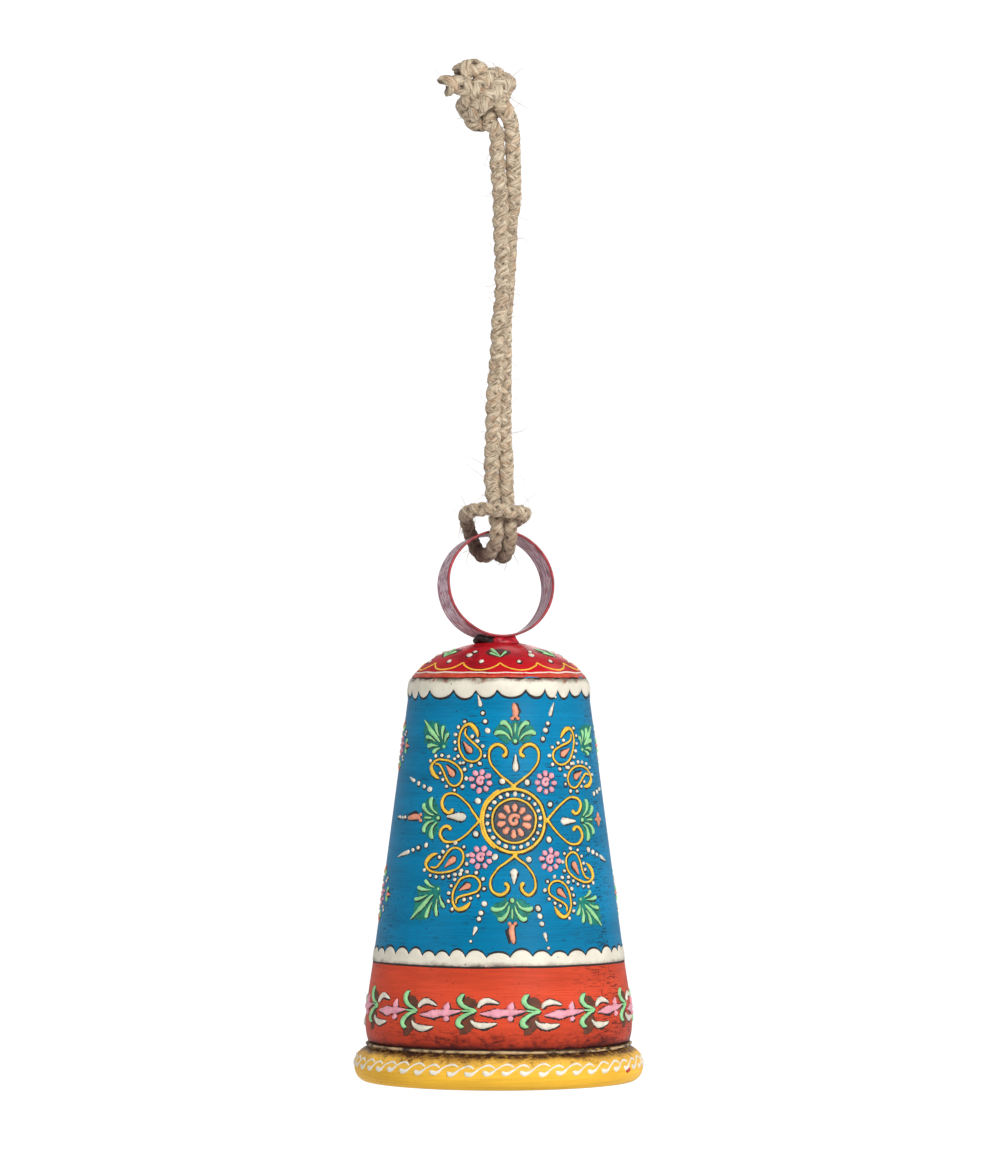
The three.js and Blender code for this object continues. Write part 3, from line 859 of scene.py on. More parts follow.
class BELL_OT_studio(bpy.types.Operator):
    """Sets the camera, the soft lights and the pale sweep"""
    bl_idname = "bell.studio"
    bl_label = "Studio"

    SENSOR = 36.0
    DISTANCE = 1440.0      # from the camera to the bell's axis
    EYE = -178.2           # height of the camera
    VIEW_TALL = 368.0      # how much the view takes in at the bell
    VIEW_MIDDLE = -141.44  # height of the view's middle at the bell

    def execute(self, context):
        form = context.scene.studio_form
        data = bpy.data.cameras.new("camera")
        data.sensor_width = self.SENSOR
        data.lens = self.SENSOR * self.DISTANCE / self.VIEW_TALL
        data.shift_x = 0.001
        data.shift_y = (self.VIEW_MIDDLE - self.EYE) / self.VIEW_TALL
        data.clip_start = 0.01
        camera = bpy.data.objects.new("camera", data)
        way = Vector((math.sin(FACING), -math.cos(FACING), 0))
        camera.location = (way * self.DISTANCE + Vector((0, 0, self.EYE))) * MM
        camera.rotation_euler = (math.radians(90), 0, FACING)
        context.scene.collection.objects.link(camera)
        context.scene.camera = camera
        self.lights(context, form)
        self.sweep()
        context.scene.view_settings.view_transform = "Standard"
        world = bpy.data.worlds.new("white room")
        world.use_nodes = True
        ground = world.node_tree.nodes["Background"]
        ground.inputs["Color"].default_value = (1, 1, 1, 1)
        ground.inputs["Strength"].default_value = form.sky
        context.scene.world = world
        return {"FINISHED"}

    def lights(self, context, form):
        """One large light to the right of the eye, a weak one at each side and one behind."""
        middle = -0.2
        for name, azimuth, height, reach, size, power in (
            ("key", 12, 0.62, 1.3, 0.9, form.key),
            ("fill_left", -78, 0.05, 1.1, 0.7, form.fill * 0.5),
            ("fill_right", 62, 0.15, 1.1, 0.7, form.fill * 0.45),
            ("back_light", 160, 0.5, 1.2, 0.6, form.fill),
        ):
            data = bpy.data.lights.new(name, "AREA")
            data.shape = "RECTANGLE"
            data.size = size * 0.6
            data.size_y = size
            data.energy = power
            lamp = bpy.data.objects.new(name, data)
            turn = FACING + math.radians(azimuth + 17)
            lamp.location = (math.sin(turn) * reach, -math.cos(turn) * reach, height + middle)
            aim(lamp, (0, 0, middle))
            context.scene.collection.objects.link(lamp)

    def sweep(self):
        """A floor well below the bell that curves up into a wall behind it, all round."""
        floor_at, flat, bend, top = -430.0, 2200.0, 900.0, 2600.0
        line = [(0.0, floor_at), (flat * 0.5, floor_at), (flat, floor_at)]
        line += [(flat + bend * math.sin(a), floor_at + bend * (1 - math.cos(a)))
                 for a in (math.radians(9 * k) for k in range(1, 11))]
        line.append((flat + bend, top))
        verts, faces = [], []
        steps = 72
        for k in range(steps):
            turn = math.tau * k / steps
            verts += [(r * math.cos(turn), r * math.sin(turn), z) for r, z in line[1:]]
        rows = len(line) - 1
        for k in range(steps):
            for i in range(rows - 1):
                a, b = k * rows + i, ((k + 1) % steps) * rows + i
                faces.append((a, a + 1, b + 1, b))
        verts.append((0, 0, floor_at))
        faces += [(k * rows, ((k + 1) % steps) * rows, len(verts) - 1) for k in range(steps)]
        finish, n, shader = new_finish("pale sweep", 0.9)
        shader.inputs["Base Color"].default_value = (0.5, 0.5, 0.5, 1)
        seen = n.add("ShaderNodeLightPath").outputs["Is Camera Ray"]
        n.link(n.blend(seen, (0.30, 0.30, 0.31), (1, 1, 1)), shader.inputs["Emission Color"])
        shader.inputs["Emission Strength"].default_value = 0.8
        behind = n.add("ShaderNodeNewGeometry").outputs["Backfacing"]
        n.link(n.maths("SUBTRACT", 1.0, behind), shader.inputs["Alpha"])
        make_object("pale_sweep", verts, faces, [finish])


# ---- cord ------------

def facing(across, away, height):
    """A point given as seen from the front: across to the right, away from the eye, and up."""
    return Vector((across * math.cos(FACING) - away * math.sin(FACING),
                   across * math.sin(FACING) + away * math.cos(FACING), height))


UPPER_TAIL = [(-12.8, 0, 18.2), (-10.4, -0.4, 20.0), (-7.6, -0.6, 20.2)]
LOWER_TAIL = [(-13.0, -2.6, 14.0), (-16.2, -2.8, 15.0), (-18.8, -2.0, 13.8)]

LEFT_STRAND = [
    (-0.57, 0.18, 0), (-0.54, -0.05, -8.6), (0.19, -1.42, -21.4), (-0.08, -1.96, -27.8), (0.37, -2.57, -40.6),
    (0.32, -2.71, -53.4), (-0.52, -2.40, -59.8), (-1.16, -2.10, -72.6), (-2.1, -1.25, -85.4),
    (-2.25, -0.9, -98.2), (-2.4, -0.16, -105.0),
]
RIGHT_STRAND = [
    (3.9, -1.1, 2.0), (4.45, -1.17, -8.6), (4.84, -0.35, -21.4), (4.05, 0.55, -27.8), (3.7, 1.15, -40.6),
    (2.9, 1.6, -53.4), (2.36, 1.75, -59.8), (2.3, 1.65, -72.6), (2.1, 1.25, -85.4), (2.16, 1.12, -98.2),
    (2.5, 0.10, -105.0),
]
HITCH = [
    (-2.35, 0, -112), (-2.3, -2.4, -119.5), (-2.2, -5.1, -126.5), (-2.4, -3.8, -131.4), (-2.7, 0.6, -134.4),
    (-3.2, 6.2, -135.1), (-3.9, 11.2, -133.4), (-4.9, 13.4, -129.6), (-6.6, 12.2, -125.6),
    (-8.6, 8.2, -123.0),
    (-10.0, 2.0, -121.7), (-9.5, -4.2, -121.0), (-6.4, -8.7, -120.7), (-1.6, -10.2, -121.2),
    (3.2, -9.6, -121.6),
    (6.5, -6.4, -121.9), (7.6, -1.2, -122.4), (7.3, 5.0, -123.7), (6.3, 10.2, -126.2), (4.9, 12.9, -129.8),
    (3.7, 11.2, -133.4), (3.0, 6.6, -135.3), (2.6, 1.0, -134.6), (2.4, -3.6, -131.4), (2.25, -5.1, -126.5),
    (2.3, -2.4, -119.5), (2.35, 0, -112),
]
# Seen from the front: the first end's way from the left strand, round the knot's upper wrap, to its tail.
LEFT_KNOT = [
    (-2.9, 0.6, 3.4), (-2.4, 1.6, 7.2), (-0.4, 2.8, 11.6), (0.2, 2.4, 15.8), (-1.0, 0.2, 18.4),
    (-3.2, -2.2, 17.0),
    (-6.0, -3.9, 14.4), (-9.0, -3.0, 11.2), (-10.8, -0.4, 8.6), (-9.4, 2.6, 7.0), (-6.2, 3.6, 9.6),
    (-5.2, 2.6, 14.2), (-5.4, 0.6, 18.2),
]
# The second end's way up from the right strand, round the lower wrap, to its tail.
RIGHT_KNOT = [
    (2.4, -1.6, 6.4), (0.4, -0.9, 9.8), (1.0, 1.4, 12.8), (2.6, 1.4, 15.6), (1.6, -1.6, 16.2),
    (-0.2, -4.4, 13.2),
    (-4.2, -4.9, 9.6), (-7.6, -3.0, 6.8), (-8.8, 0.2, 4.4), (-6.2, 2.6, 2.9), (-3.4, 3.4, 5.6),
    (-3.6, 1.4, 10.4),
    (-6.8, 0.0, 13.8), (-9.6, -0.8, 14.4),
]


def cord_route():
    """The whole cord from cut end to cut end, as closely spaced points."""
    knots = UPPER_TAIL + [facing(*p) for p in reversed(LEFT_KNOT)]
    knots += LEFT_STRAND + HITCH + RIGHT_STRAND[::-1]
    knots += [facing(*p) for p in RIGHT_KNOT] + LOWER_TAIL
    return smooth_line(knots, 0.62)


class BELL_OT_cord(bpy.types.Operator):
    """Braids the cord along its route, with its loose fibres"""
    bl_idname = "bell.cord"
    bl_label = "Braided Cord"

    CARRIERS = 2           # strands that turn each way
    MIDDLE = 1.42          # radius of the braid's middle layer
    SWING = 0.31           # how far a strand rises over its neighbour
    STRAND_WIDE = 1.64
    STRAND_DEEP = 0.98
    YARNS = 5              # ridges round one strand

    def execute(self, context):
        route = cord_route()
        frames = carried_frames(route)
        cord = self.braid(context, route, frames)
        fibres = self.loose_fibres(context, route, frames)
        for piece in (cord, fibres):
            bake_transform(piece)
        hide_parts("rope_knot", "rope_tail_upper", "rope_tail_lower", "rope_strand_left",
                    "rope_strand_right", "rope_hitch")
        return {"FINISHED"}

    def braid(self, context, route, frames):
        pitch = context.scene.cord_form.pitch / MM
        run = [0.0]
        for a, b in zip(route, route[1:]):
            run.append(run[-1] + (b - a).length)
        verts, faces = [], []
        facts = {"run": [], "turn": [], "tint": [], "proud": [], "shade": []}
        sides = 15
        dice = random.Random(4)
        for way in (1, -1):
            for strand in range(self.CARRIERS):
                base = len(verts)
                tint = dice.random()
                for i, (p, (ahead, normal, side)) in enumerate(zip(route, frames)):
                    spin = math.tau * run[i] / pitch
                    angle = strand * 2 * math.pi / self.CARRIERS + way * spin
                    weave = way * math.cos(self.CARRIERS * spin)
                    from_end = min(run[i], run[-1] - run[i])
                    fray = max(0.0, 1 - from_end / 4.5)
                    out = normal * math.cos(angle) + side * math.sin(angle)
                    around = side * math.cos(angle) - normal * math.sin(angle)
                    heading = (ahead + around * way * 2 * math.pi * self.MIDDLE / pitch).normalized()
                    across = heading.cross(out).normalized()
                    swell = self.thickness(p)
                    swing = self.SWING * weave * (2.6 - 1.6 * swell)
                    centre = p + out * (self.MIDDLE * swell + swing + fray * 0.55)
                    lump = swell + 0.08 * noise.noise(Vector((run[i] * 0.45, strand * 7.1, way * 3.3)))
                    for k in range(sides):
                        turn = math.tau * k / sides
                        rise = math.sin(turn)
                        size = lump * (1 + 0.05 * math.cos(self.YARNS * turn + run[i] * 1.1))
                        wide = across * math.cos(turn) * self.STRAND_WIDE * size * (1 - 0.2 * fray)
                        verts.append(centre + wide + out * rise * self.STRAND_DEEP * size)
                        facts["run"].append(run[i])
                        facts["turn"].append(turn / 2 + strand * 5.3 + (2.7 if way > 0 else 0))
                        facts["tint"].append(tint)
                        # How proud a point stands; the jute finish paints shade where it lies low.
                        hollow = 0.34 * abs(math.cos(turn)) ** 3
                        facts["proud"].append(0.42 + 0.40 * weave + 0.30 * rise - hollow)
                        facts["shade"].append(self.shade(p))
                faces += capped_faces(len(route), sides, base)
        self.core(route, verts, faces, facts)
        cord = make_object("braided_cord", verts, faces, [jute_finish()], attributes=facts)
        face_outwards(cord)
        return cord

    def core(self, route, verts, faces, facts):
        """The yarn inside the braid, which closes the gaps between strands."""
        thin = route[1:-1:2]
        part = tube(thin, [1.6] * len(thin), 6)
        for p in thin:
            for k in range(6):
                facts["run"].append(0.0)
                facts["turn"].append(k)
                facts["tint"].append(0.3)
                # The core lies low, so it takes the painted shade of the hollows.
                facts["proud"].append(-0.2)
                facts["shade"].append(self.shade(p))
        add_part((verts, faces), part)

    def thickness(self, p):
        """The braid is loose in the knot and drawn tight in the hitch."""
        loose = min(1.0, max(0.0, (p.z - 3) / 6))
        tight = min(1.0, max(0.0, (-112 - p.z) / 8))
        return 1 + 0.22 * loose - 0.11 * tight

    def shade(self, p):
        """How much painted shade a stretch gets where it runs below the ring's top, and in the hitch on its
        side away from the eye.
        """
        under = max(0.0, min(1.0, (-123.5 - p.z) / 9))
        behind = max(0.0, min(1.0, (p.y + 1.0) / 9)) if p.z < -110 else 0.0
        return min(1.0, under * 0.55 + behind * 0.75)

    def loose_fibres(self, context, route, frames):
        dice = random.Random(11)
        store, tints = ([], []), []
        finish = fibre_finish()
        for _ in range(context.scene.cord_form.fibres):
            i = dice.randrange(2, len(route) - 2)
            ahead, normal, side = frames[i]
            angle = dice.uniform(0, math.tau)
            out = normal * math.cos(angle) + side * math.sin(angle)
            length = dice.choice((2.2, 3.0, 4.0, 5.5, 8.0)) * dice.uniform(0.7, 1.2)
            along = ahead * dice.choice((-1, 1)) * dice.uniform(0.6, 1.4)
            heading = (along + out * dice.uniform(0.25, 1.0)).normalized()
            curl = Vector((dice.uniform(-1, 1), dice.uniform(-1, 1), dice.uniform(-1, 1))) * 0.34
            p = route[i] + out * (CORD_RADIUS - 0.45)
            line = []
            for step in range(7):
                line.append(p.copy())
                heading = (heading + curl * length / 6 - out * 0.05 * step).normalized()
                p = p + heading * length / 6
            radius = dice.uniform(0.055, 0.10)
            part = tube(line, [radius * (1 - 0.6 * k / 6) for k in range(7)], 4)
            add_part(store, part)
            tints += [dice.random()] * len(part[0])
        fibres = make_object("cord_fibres", *store, [finish], attributes={"tint": tints})
        face_outwards(fibres)
        return fibres


# ---- shells ------------

def shell_between(name, run_from, run_to, rows, finishes, steps=256):
    """A sheet-metal shell of the outer profile between two distances down it, with a flat wall edge."""
    closed_top = run_from <= 0
    runs = [run_from + (run_to - run_from) * k / rows for k in range(rows + 1)]
    if closed_top:
        runs = runs[1:]
    verts, loops = [], []
    for depth, kind in ((0.0, 0), (-WALL, 1)):
        ordered = runs if kind == 0 else list(reversed(runs))
        for run in ordered:
            loops.append(kind)
            for k in range(steps):
                verts.append(on_bell(math.tau * k / steps, run, depth))
    count = len(loops)
    faces = loop_faces(count, steps, closed=not closed_top)
    kinds = [max(loops[i], loops[(i + 1) % count]) for i in range(len(faces) // steps) for _ in range(steps)]
    if closed_top:
        verts.append(on_bell(0, 0, 0))
        verts.append(on_bell(0, 0, -WALL))
        for k in range(steps):
            faces.append((k, (k + 1) % steps, len(verts) - 2))
            kinds.append(0)
            inner = (count - 1) * steps
            faces.append((inner + (k + 1) % steps, inner + k, len(verts) - 1))
            kinds.append(1)
    piece = make_object(name, verts, faces, finishes, kinds)
    face_outwards(piece)
    return piece


class BELL_OT_shells(bpy.types.Operator):
    """Makes the crown, the skirt and the rim"""
    bl_idname = "bell.shells"
    bl_label = "Bell Shells"

    def execute(self, context):
        paint = context.scene.bell_paint
        inside = bare_inside_finish()
        crown = shell_between("painted_crown", 0.0, run_at(CROWN_FOOT), 40, [crown_finish(paint), inside])
        ride_bell(crown, "crown_paint", "crown_cap")
        skirt = shell_between("painted_skirt", run_at(SKIRT_TOP), run_at(SKIRT_FOOT), 130,
                              [skirt_finish(paint), inside])
        ride_bell(skirt, "skirt_paint", "bell_skirt")
        ride_bell(self.rim(context, inside), "rim_paint", "mouth_rim")
        return {"FINISHED"}

    def rim(self, context, inside):
        """The flared rim, turned in at the mouth to a flat edge."""
        paint = rim_finish(context.scene.bell_paint)
        top, foot = run_at(RIM_TOP), PROFILE_RUN[-1]
        steps = 256
        outer = [top + (foot - top) * k / 34 for k in range(35)]
        inner = [(41.6, MOUTH), (41.1, -300.0), (40.75, -296.5), (40.6, RIM_TOP)]
        verts = []
        for run in outer:
            verts += [on_bell(math.tau * k / steps, run) for k in range(steps)]
        for radius, height in inner:
            for k in range(steps):
                turn = math.tau * k / steps
                verts.append(Vector((radius * math.sin(turn), -radius * math.cos(turn), height)))
        loops = len(outer) + len(inner)
        kinds = [0 if i < len(outer) else 1 for i in range(loops) for _ in range(steps)]
        faces = loop_faces(loops, steps, closed=True)
        piece = make_object("painted_rim", verts, faces, [paint, inside], kinds)
        face_outwards(piece)
        return piece


# ---- inside ------------

class BELL_OT_inside(bpy.types.Operator):
    """Gives the seams, the staple, the hook and the clapper their finishes"""
    bl_idname = "bell.inside"
    bl_label = "Inside Pieces"

    def execute(self, context):
        nodes = frame["nodes"]
        brazing = solder_finish("brazing", (0.30, 0.22, 0.12), 0.6)
        wire = wire_finish()
        for node, finish in (
            ("side_seam_strip", brazing), ("crown_seam_bead", brazing), ("staple_solder_left", brazing),
            ("staple_solder_right", brazing), ("clapper_staple", wire), ("clapper_hook", wire),
        ):
            mesh = nodes[node].data
            mesh.materials.clear()
            mesh.materials.append(finish)
        self.clapper()
        return {"FINISHED"}

    def clapper(self):
        """A turned clapper with scribed lines, a worn striking belt and a cross hole."""
        low, high = node_span("clapper", 2)
        pin = next(j["pos_m"][2] for j in frame["joints"] if j["name"] == "clapper_swing") / MM
        knots = vectors((
            (2.4, high), (3.2, high - 0.9), (3.2, pin - 3.4), (3.8, pin - 8), (5.4, -242), (7.4, -258),
            (9.3, -271), (9.35, -278), (8.0, -285), (5.4, low + 0.7), (4.6, low),
        ))
        line = [catmull(knots, k / 110) for k in range(111)]
        for groove in (-262.0, -264.2, -282.0):
            for p in line:
                p.x -= 0.32 * math.exp(-((p.y - groove) / 0.45) ** 2)
        steps = 48
        verts = [Vector((r * math.cos(math.tau * k / steps), r * math.sin(math.tau * k / steps), z))
                 for r, z in line for k in range(steps)]
        faces = []
        for i in range(len(line) - 1):
            for k in range(steps):
                a, b = i * steps + k, i * steps + (k + 1) % steps
                faces.append((a, a + steps, b + steps, b))
        faces.append(tuple(range(steps)))
        faces.append(tuple(reversed(range(len(verts) - steps, len(verts)))))
        piece = make_object("turned_clapper", verts, faces, [wood_finish()])
        face_outwards(piece)
        bore = tube(vectors(((0, -8, pin), (0, 8, pin))), [1.4, 1.4], 20)
        cutter = make_object("bore_cutter", *bore, [])
        face_outwards(cutter)
        cut = piece.modifiers.new("cross hole", "BOOLEAN")
        cut.operation = "DIFFERENCE"
        cut.object = cutter
        apply_modifiers(piece)
        bpy.data.objects.remove(cutter)
        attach(piece, "clapper")
        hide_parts("clapper")


def apply_modifiers(piece):
    graph = bpy.context.evaluated_depsgraph_get()
    baked = bpy.data.meshes.new_from_object(piece.evaluated_get(graph))
    piece.modifiers.clear()
    piece.data = baked


# ---- ring ------------

class BELL_OT_ring(bpy.types.Operator):
    """Bends the steel strip ring and brazes it to the crown"""
    bl_idname = "bell.ring"
    bl_label = "Hanging Ring"

    def execute(self, context):
        self.strip(context)
        self.brazing()
        return {"FINISHED"}

    def strip(self, context):
        half, wall, soft = 6.0, 0.75, 0.17
        steps = 200
        flat, thick = half - soft, wall / 2
        round_x, round_y = half - soft * 0.3, thick - soft * 0.3
        low = thick - soft
        section = [(-flat, thick), (flat, thick), (round_x, round_y), (half, low), (half, -low),
                   (round_x, -round_y), (flat, -thick), (-flat, -thick), (-round_x, -round_y), (-half, -low),
                   (-half, low), (-round_x, round_y)]
        fine, edge_of = [], []
        for i, (a, b) in enumerate(zip(section, section[1:] + section[:1])):
            cuts = 10 if i in (0, 6) else 1
            for k in range(cuts):
                fine.append((a[0] + (b[0] - a[0]) * k / cuts, a[1] + (b[1] - a[1]) * k / cuts))
                edge_of.append(0 if i in (0, 6) else 1)
        up = Vector((0, 0, 1))
        up = (up - RING_AXIS * up.dot(RING_AXIS)).normalized()
        right = RING_AXIS.cross(up)
        verts = []
        facts = {"turned": [], "across": []}
        for i in range(steps):
            turn = math.tau * i / steps
            out = right * math.sin(turn) + up * math.cos(turn)
            for along, depth in fine:
                facts["turned"].append(abs(math.sin(turn / 2 + 0.4)) * 2)
                facts["across"].append(along * MM)
                dent = 0.22 * noise.noise(Vector((math.sin(turn) * 1.5, math.cos(turn) * 1.5, along * 0.07)))
                which = 5 + math.copysign(1, along)
                edge = 0.16 * noise.noise(Vector((math.sin(turn) * 3, math.cos(turn) * 3, which)))
                reach = (RING_RADIUS - wall / 2) + depth + min(dent, 0.2)
                spread = right * (0.62 * math.sin(turn) - 0.35)
                verts.append(RING_CENTRE + out * reach + spread + RING_AXIS * (along * (1 + edge / half)))
        edge_red = enamel("ring edge red", (0.42, 0.008, 0.016), 0.5)
        faces = loop_faces(steps, len(fine), closed=True)
        finishes = [ring_band_finish(), edge_red]
        piece = make_object("strip_ring", verts, faces, finishes, edge_of * steps, facts)
        face_outwards(piece)
        ride_bell(piece, "ring_paint", "hanging_ring")

    def brazing(self):
        """The lumps where the ring stands on the crown: one burnt black, one under red paint."""
        burnt = solder_finish("burnt brazing", (0.035, 0.022, 0.02), 0.2)
        red = enamel("painted brazing", (0.58, 0.012, 0.03), 0.55)
        top = CROWN_TOP
        for name, node, finish, lumps in (
            ("brazing_burnt", "ring_solder_left", burnt,
             ((-5.2, -3.0, top + 0.5, 1.5, 1.5, 1.3), (-6.6, -1.6, top + 0.9, 1.7, 2.2, 1.2),
              (-8.0, -0.8, top + 0.1, 0.9, 1.3, 1.0), (-5.6, -2.2, top + 1.5, 1.2, 1.3, 0.9),
              (-5.0, 2.6, top + 0.3, 2.4, 2.6, 1.2), (-4.0, -4.0, top - 0.1, 1.2, 1.1, 1.1),
              (-4.2, 4.6, top + 0.1, 1.8, 1.6, 1.0))),
            ("brazing_painted", "ring_solder_right", red,
             ((-1.4, -4.3, top + 0.2, 2.1, 1.7, 1.6), (1.4, -4.0, top + 0.0, 2.6, 1.9, 1.8),
              (3.2, -2.8, top + 0.5, 1.8, 2.1, 1.7), (4.2, 1.0, top - 0.1, 2.4, 2.8, 1.6),
              (0.6, -4.9, top - 0.5, 3.4, 1.6, 1.3), (3.6, -3.4, top - 0.6, 2.2, 1.9, 1.3),
              (3.6, 4.4, top + 0.0, 2.2, 1.8, 1.1))),
        ):
            store = ([], [])
            for x, y, z, rx, ry, rz in lumps:
                add_part(store, lump((x, y, z), (rx, ry, rz)))
            piece = make_object(name, *store, [finish])
            join = piece.modifiers.new("one skin", "REMESH")
            join.mode = "VOXEL"
            join.voxel_size = 0.22 * MM
            soften = piece.modifiers.new("soften", "SMOOTH")
            soften.iterations = 3
            apply_modifiers(piece)
            piece.data.polygons.foreach_set("use_smooth", [True] * len(piece.data.polygons))
            ride_bell(piece, "solder" if node.endswith("left") else "crown_paint", node)


def lump(centre, radii, rings=8, sides=14):
    """A round lump of solder, not quite even."""
    verts, faces = [Vector(centre) + Vector((0, 0, radii[2]))], []
    for i in range(1, rings):
        polar = math.pi * i / rings
        for k in range(sides):
            turn = math.tau * k / sides
            way = Vector((math.sin(polar) * math.cos(turn), math.sin(polar) * math.sin(turn),
                          math.cos(polar)))
            swell = 1 + 0.12 * noise.noise(way * 2.3 + Vector(centre))
            verts.append(Vector(centre) + Vector((way.x * radii[0], way.y * radii[1],
                                                  way.z * radii[2])) * swell)
    verts.append(Vector(centre) - Vector((0, 0, radii[2])))
    for k in range(sides):
        faces.append((0, 1 + k, 1 + (k + 1) % sides))
        last = 1 + (rings - 2) * sides
        faces.append((len(verts) - 1, last + (k + 1) % sides, last + k))
    for i in range(rings - 2):
        for k in range(sides):
            a, b = 1 + i * sides + k, 1 + i * sides + (k + 1) % sides
            faces.append((a, a + sides, b + sides, b))
    return verts, faces


# ---- borders ------------

def scalloped_band(name, finish, top_run, foot_run, lift, slot, seed=2, per_lobe=14):
    """A band of thick paint; top_run and foot_run give how far down the profile its edges are at an angle."""
    steps = 24 * per_lobe
    rows = (0.0, 0.06, 0.3, 0.7, 0.94, 1.0)
    lifts = (-0.12, 0.75, 1.0, 1.0, 0.75, -0.12)
    verts = []
    for k in range(steps):
        angle = math.tau * k / steps
        a, b = top_run(angle), foot_run(angle)
        for share, high in zip(rows, lifts):
            verts.append(on_bell(angle, a + (b - a) * share, lift * high))
        verts.append(on_bell(angle, (a + b) / 2, -0.3))
    piece = make_object(name, verts, loop_faces(steps, len(rows) + 1, closed=True), [finish])
    face_outwards(piece)
    return ride_bell(piece, slot)


def lobes(angle, count, phase, depth, seed):
    """How far a row of round lobes reaches at an angle, a little uneven like hand painting."""
    stray = 0.26 * math.sin(3 * angle + seed) + 0.15 * math.sin(7 * angle + 2 * seed)
    place = (angle / math.tau * count + phase + stray) % count
    lobe = int(place)
    dice = random.Random(seed * 1000 + lobe)
    size = dice.uniform(0.82, 1.15)
    across = (place - lobe) * 2 - 1
    return depth * size * math.sqrt(max(0.0, 1 - across * across * 0.97))


class BELL_OT_borders(bpy.types.Operator):
    """Paints the cream scalloped borders and their dark edges, which are dirt and painted shadow"""
    bl_idname = "bell.borders"
    bl_label = "Scalloped Borders"

    def execute(self, context):
        paint = context.scene.bell_paint
        cream = cream_finish("upper border cream", tuple(paint.cream), (-176.3, -174.6), 0.9)
        soiled = cream_finish("lower border cream", tuple(paint.cream), (-262.8, -265.0))
        edge = wash_film("border dirt and shadow", (0.012, 0.009, 0.009), 1.0)
        top = run_at(-174.5)
        upper_foot = lambda a: run_at(-177.0) + lobes(a, 26, 0.35, 3.75, 5)
        frayed = lambda a: max(0.0, 0.9 * noise.noise(Vector((math.cos(a) * 9, math.sin(a) * 9, 5.2))))
        wander = lambda a: 0.18 * noise.noise(Vector((math.cos(a) * 4, math.sin(a) * 4, 1.7)))
        # Dark ragged bands round each cream border, thickest in the cusps: dirt and painted shadow.
        scalloped_band("upper_border_shadow", edge, lambda a: top - 0.28 - frayed(a + 1) + wander(a),
                       lambda a: max(upper_foot(a) + 0.78, run_at(-179.0)) + wander(a) * 2, 0.06,
                       "cream_paint")
        scalloped_band("upper_border", cream, lambda a: top + wander(a) + frayed(a), upper_foot, 0.26,
                       "cream_paint")
        foot = run_at(-264.4)
        lower_top = lambda a: run_at(-262.4) - lobes(a, 40, 0.2, 2.9, 9)
        sway = lambda a: 0.5 * noise.noise(Vector((math.cos(a) * 1.5, math.sin(a) * 1.5, 9.7)))
        scalloped_band("lower_border_shadow", edge, lambda a: min(lower_top(a) - 0.62,
                                                                  run_at(-261.0)) + sway(a) + wander(a),
                       lambda a: foot + 0.55 + sway(a) + wander(a), 0.06, "cream_paint", per_lobe=20)
        scalloped_band("lower_border", soiled, lambda a: lower_top(a) + sway(a),
                       lambda a: foot + sway(a), 0.26, "cream_paint", per_lobe=20)
        self.neck_bead(context)
        return {"FINISHED"}

    def neck_bead(self, context):
        """The soldered bead at the neck, painted with a dirty cream."""
        low, high = node_span("rim_seam_bead", 2)
        radius = node_span("rim_seam_bead", 0)[1] - 0.6
        steps, sides = 240, 8
        verts = []
        for i in range(steps):
            turn = math.tau * i / steps
            way = Vector((math.sin(turn), -math.cos(turn), 0))
            thick = 0.42 + 0.20 * noise.noise(way * 7) + 0.14 * noise.noise(way * 23)
            height = (low + high) / 2 + 0.5 * noise.noise(way * 1.1 + Vector((0, 0, 4)))
            for k in range(sides):
                a = math.tau * k / sides
                out = way * (radius - 0.5 + thick * math.cos(a))
                verts.append(out + Vector((0, 0, height + thick * math.sin(a))))
        finish, n, shader = new_finish("neck bead", 0.55)
        place = n.place()
        worn = n.ramp(n.noise(place, 160, 5, 0.7), 0.40, 0.56)
        n.link(n.blend(worn, (0.05, 0.02, 0.012), (0.58, 0.40, 0.20)), shader.inputs["Base Color"])
        bump(n, shader, n.noise(place, 700, 4, 0.6), 0.4, 0.0003)
        piece = make_object("neck_bead", verts, loop_faces(steps, sides, closed=True), [finish])
        face_outwards(piece)
        ride_bell(piece, "cream_paint", "rim_seam_bead")


# ---- raised ornament ------------

def turned_about(turn, centre=(0.0, 0.0), flip=1):
    """Places points of a small figure: mirrored if flip is -1, turned, then moved to its centre."""
    c, s = math.cos(turn), math.sin(turn)

    def place(u, v):
        u *= flip
        return centre[0] + u * c - v * s, centre[1] + u * s + v * c
    return place


def moved(place, line):
    return [place(u, v) for u, v in line]


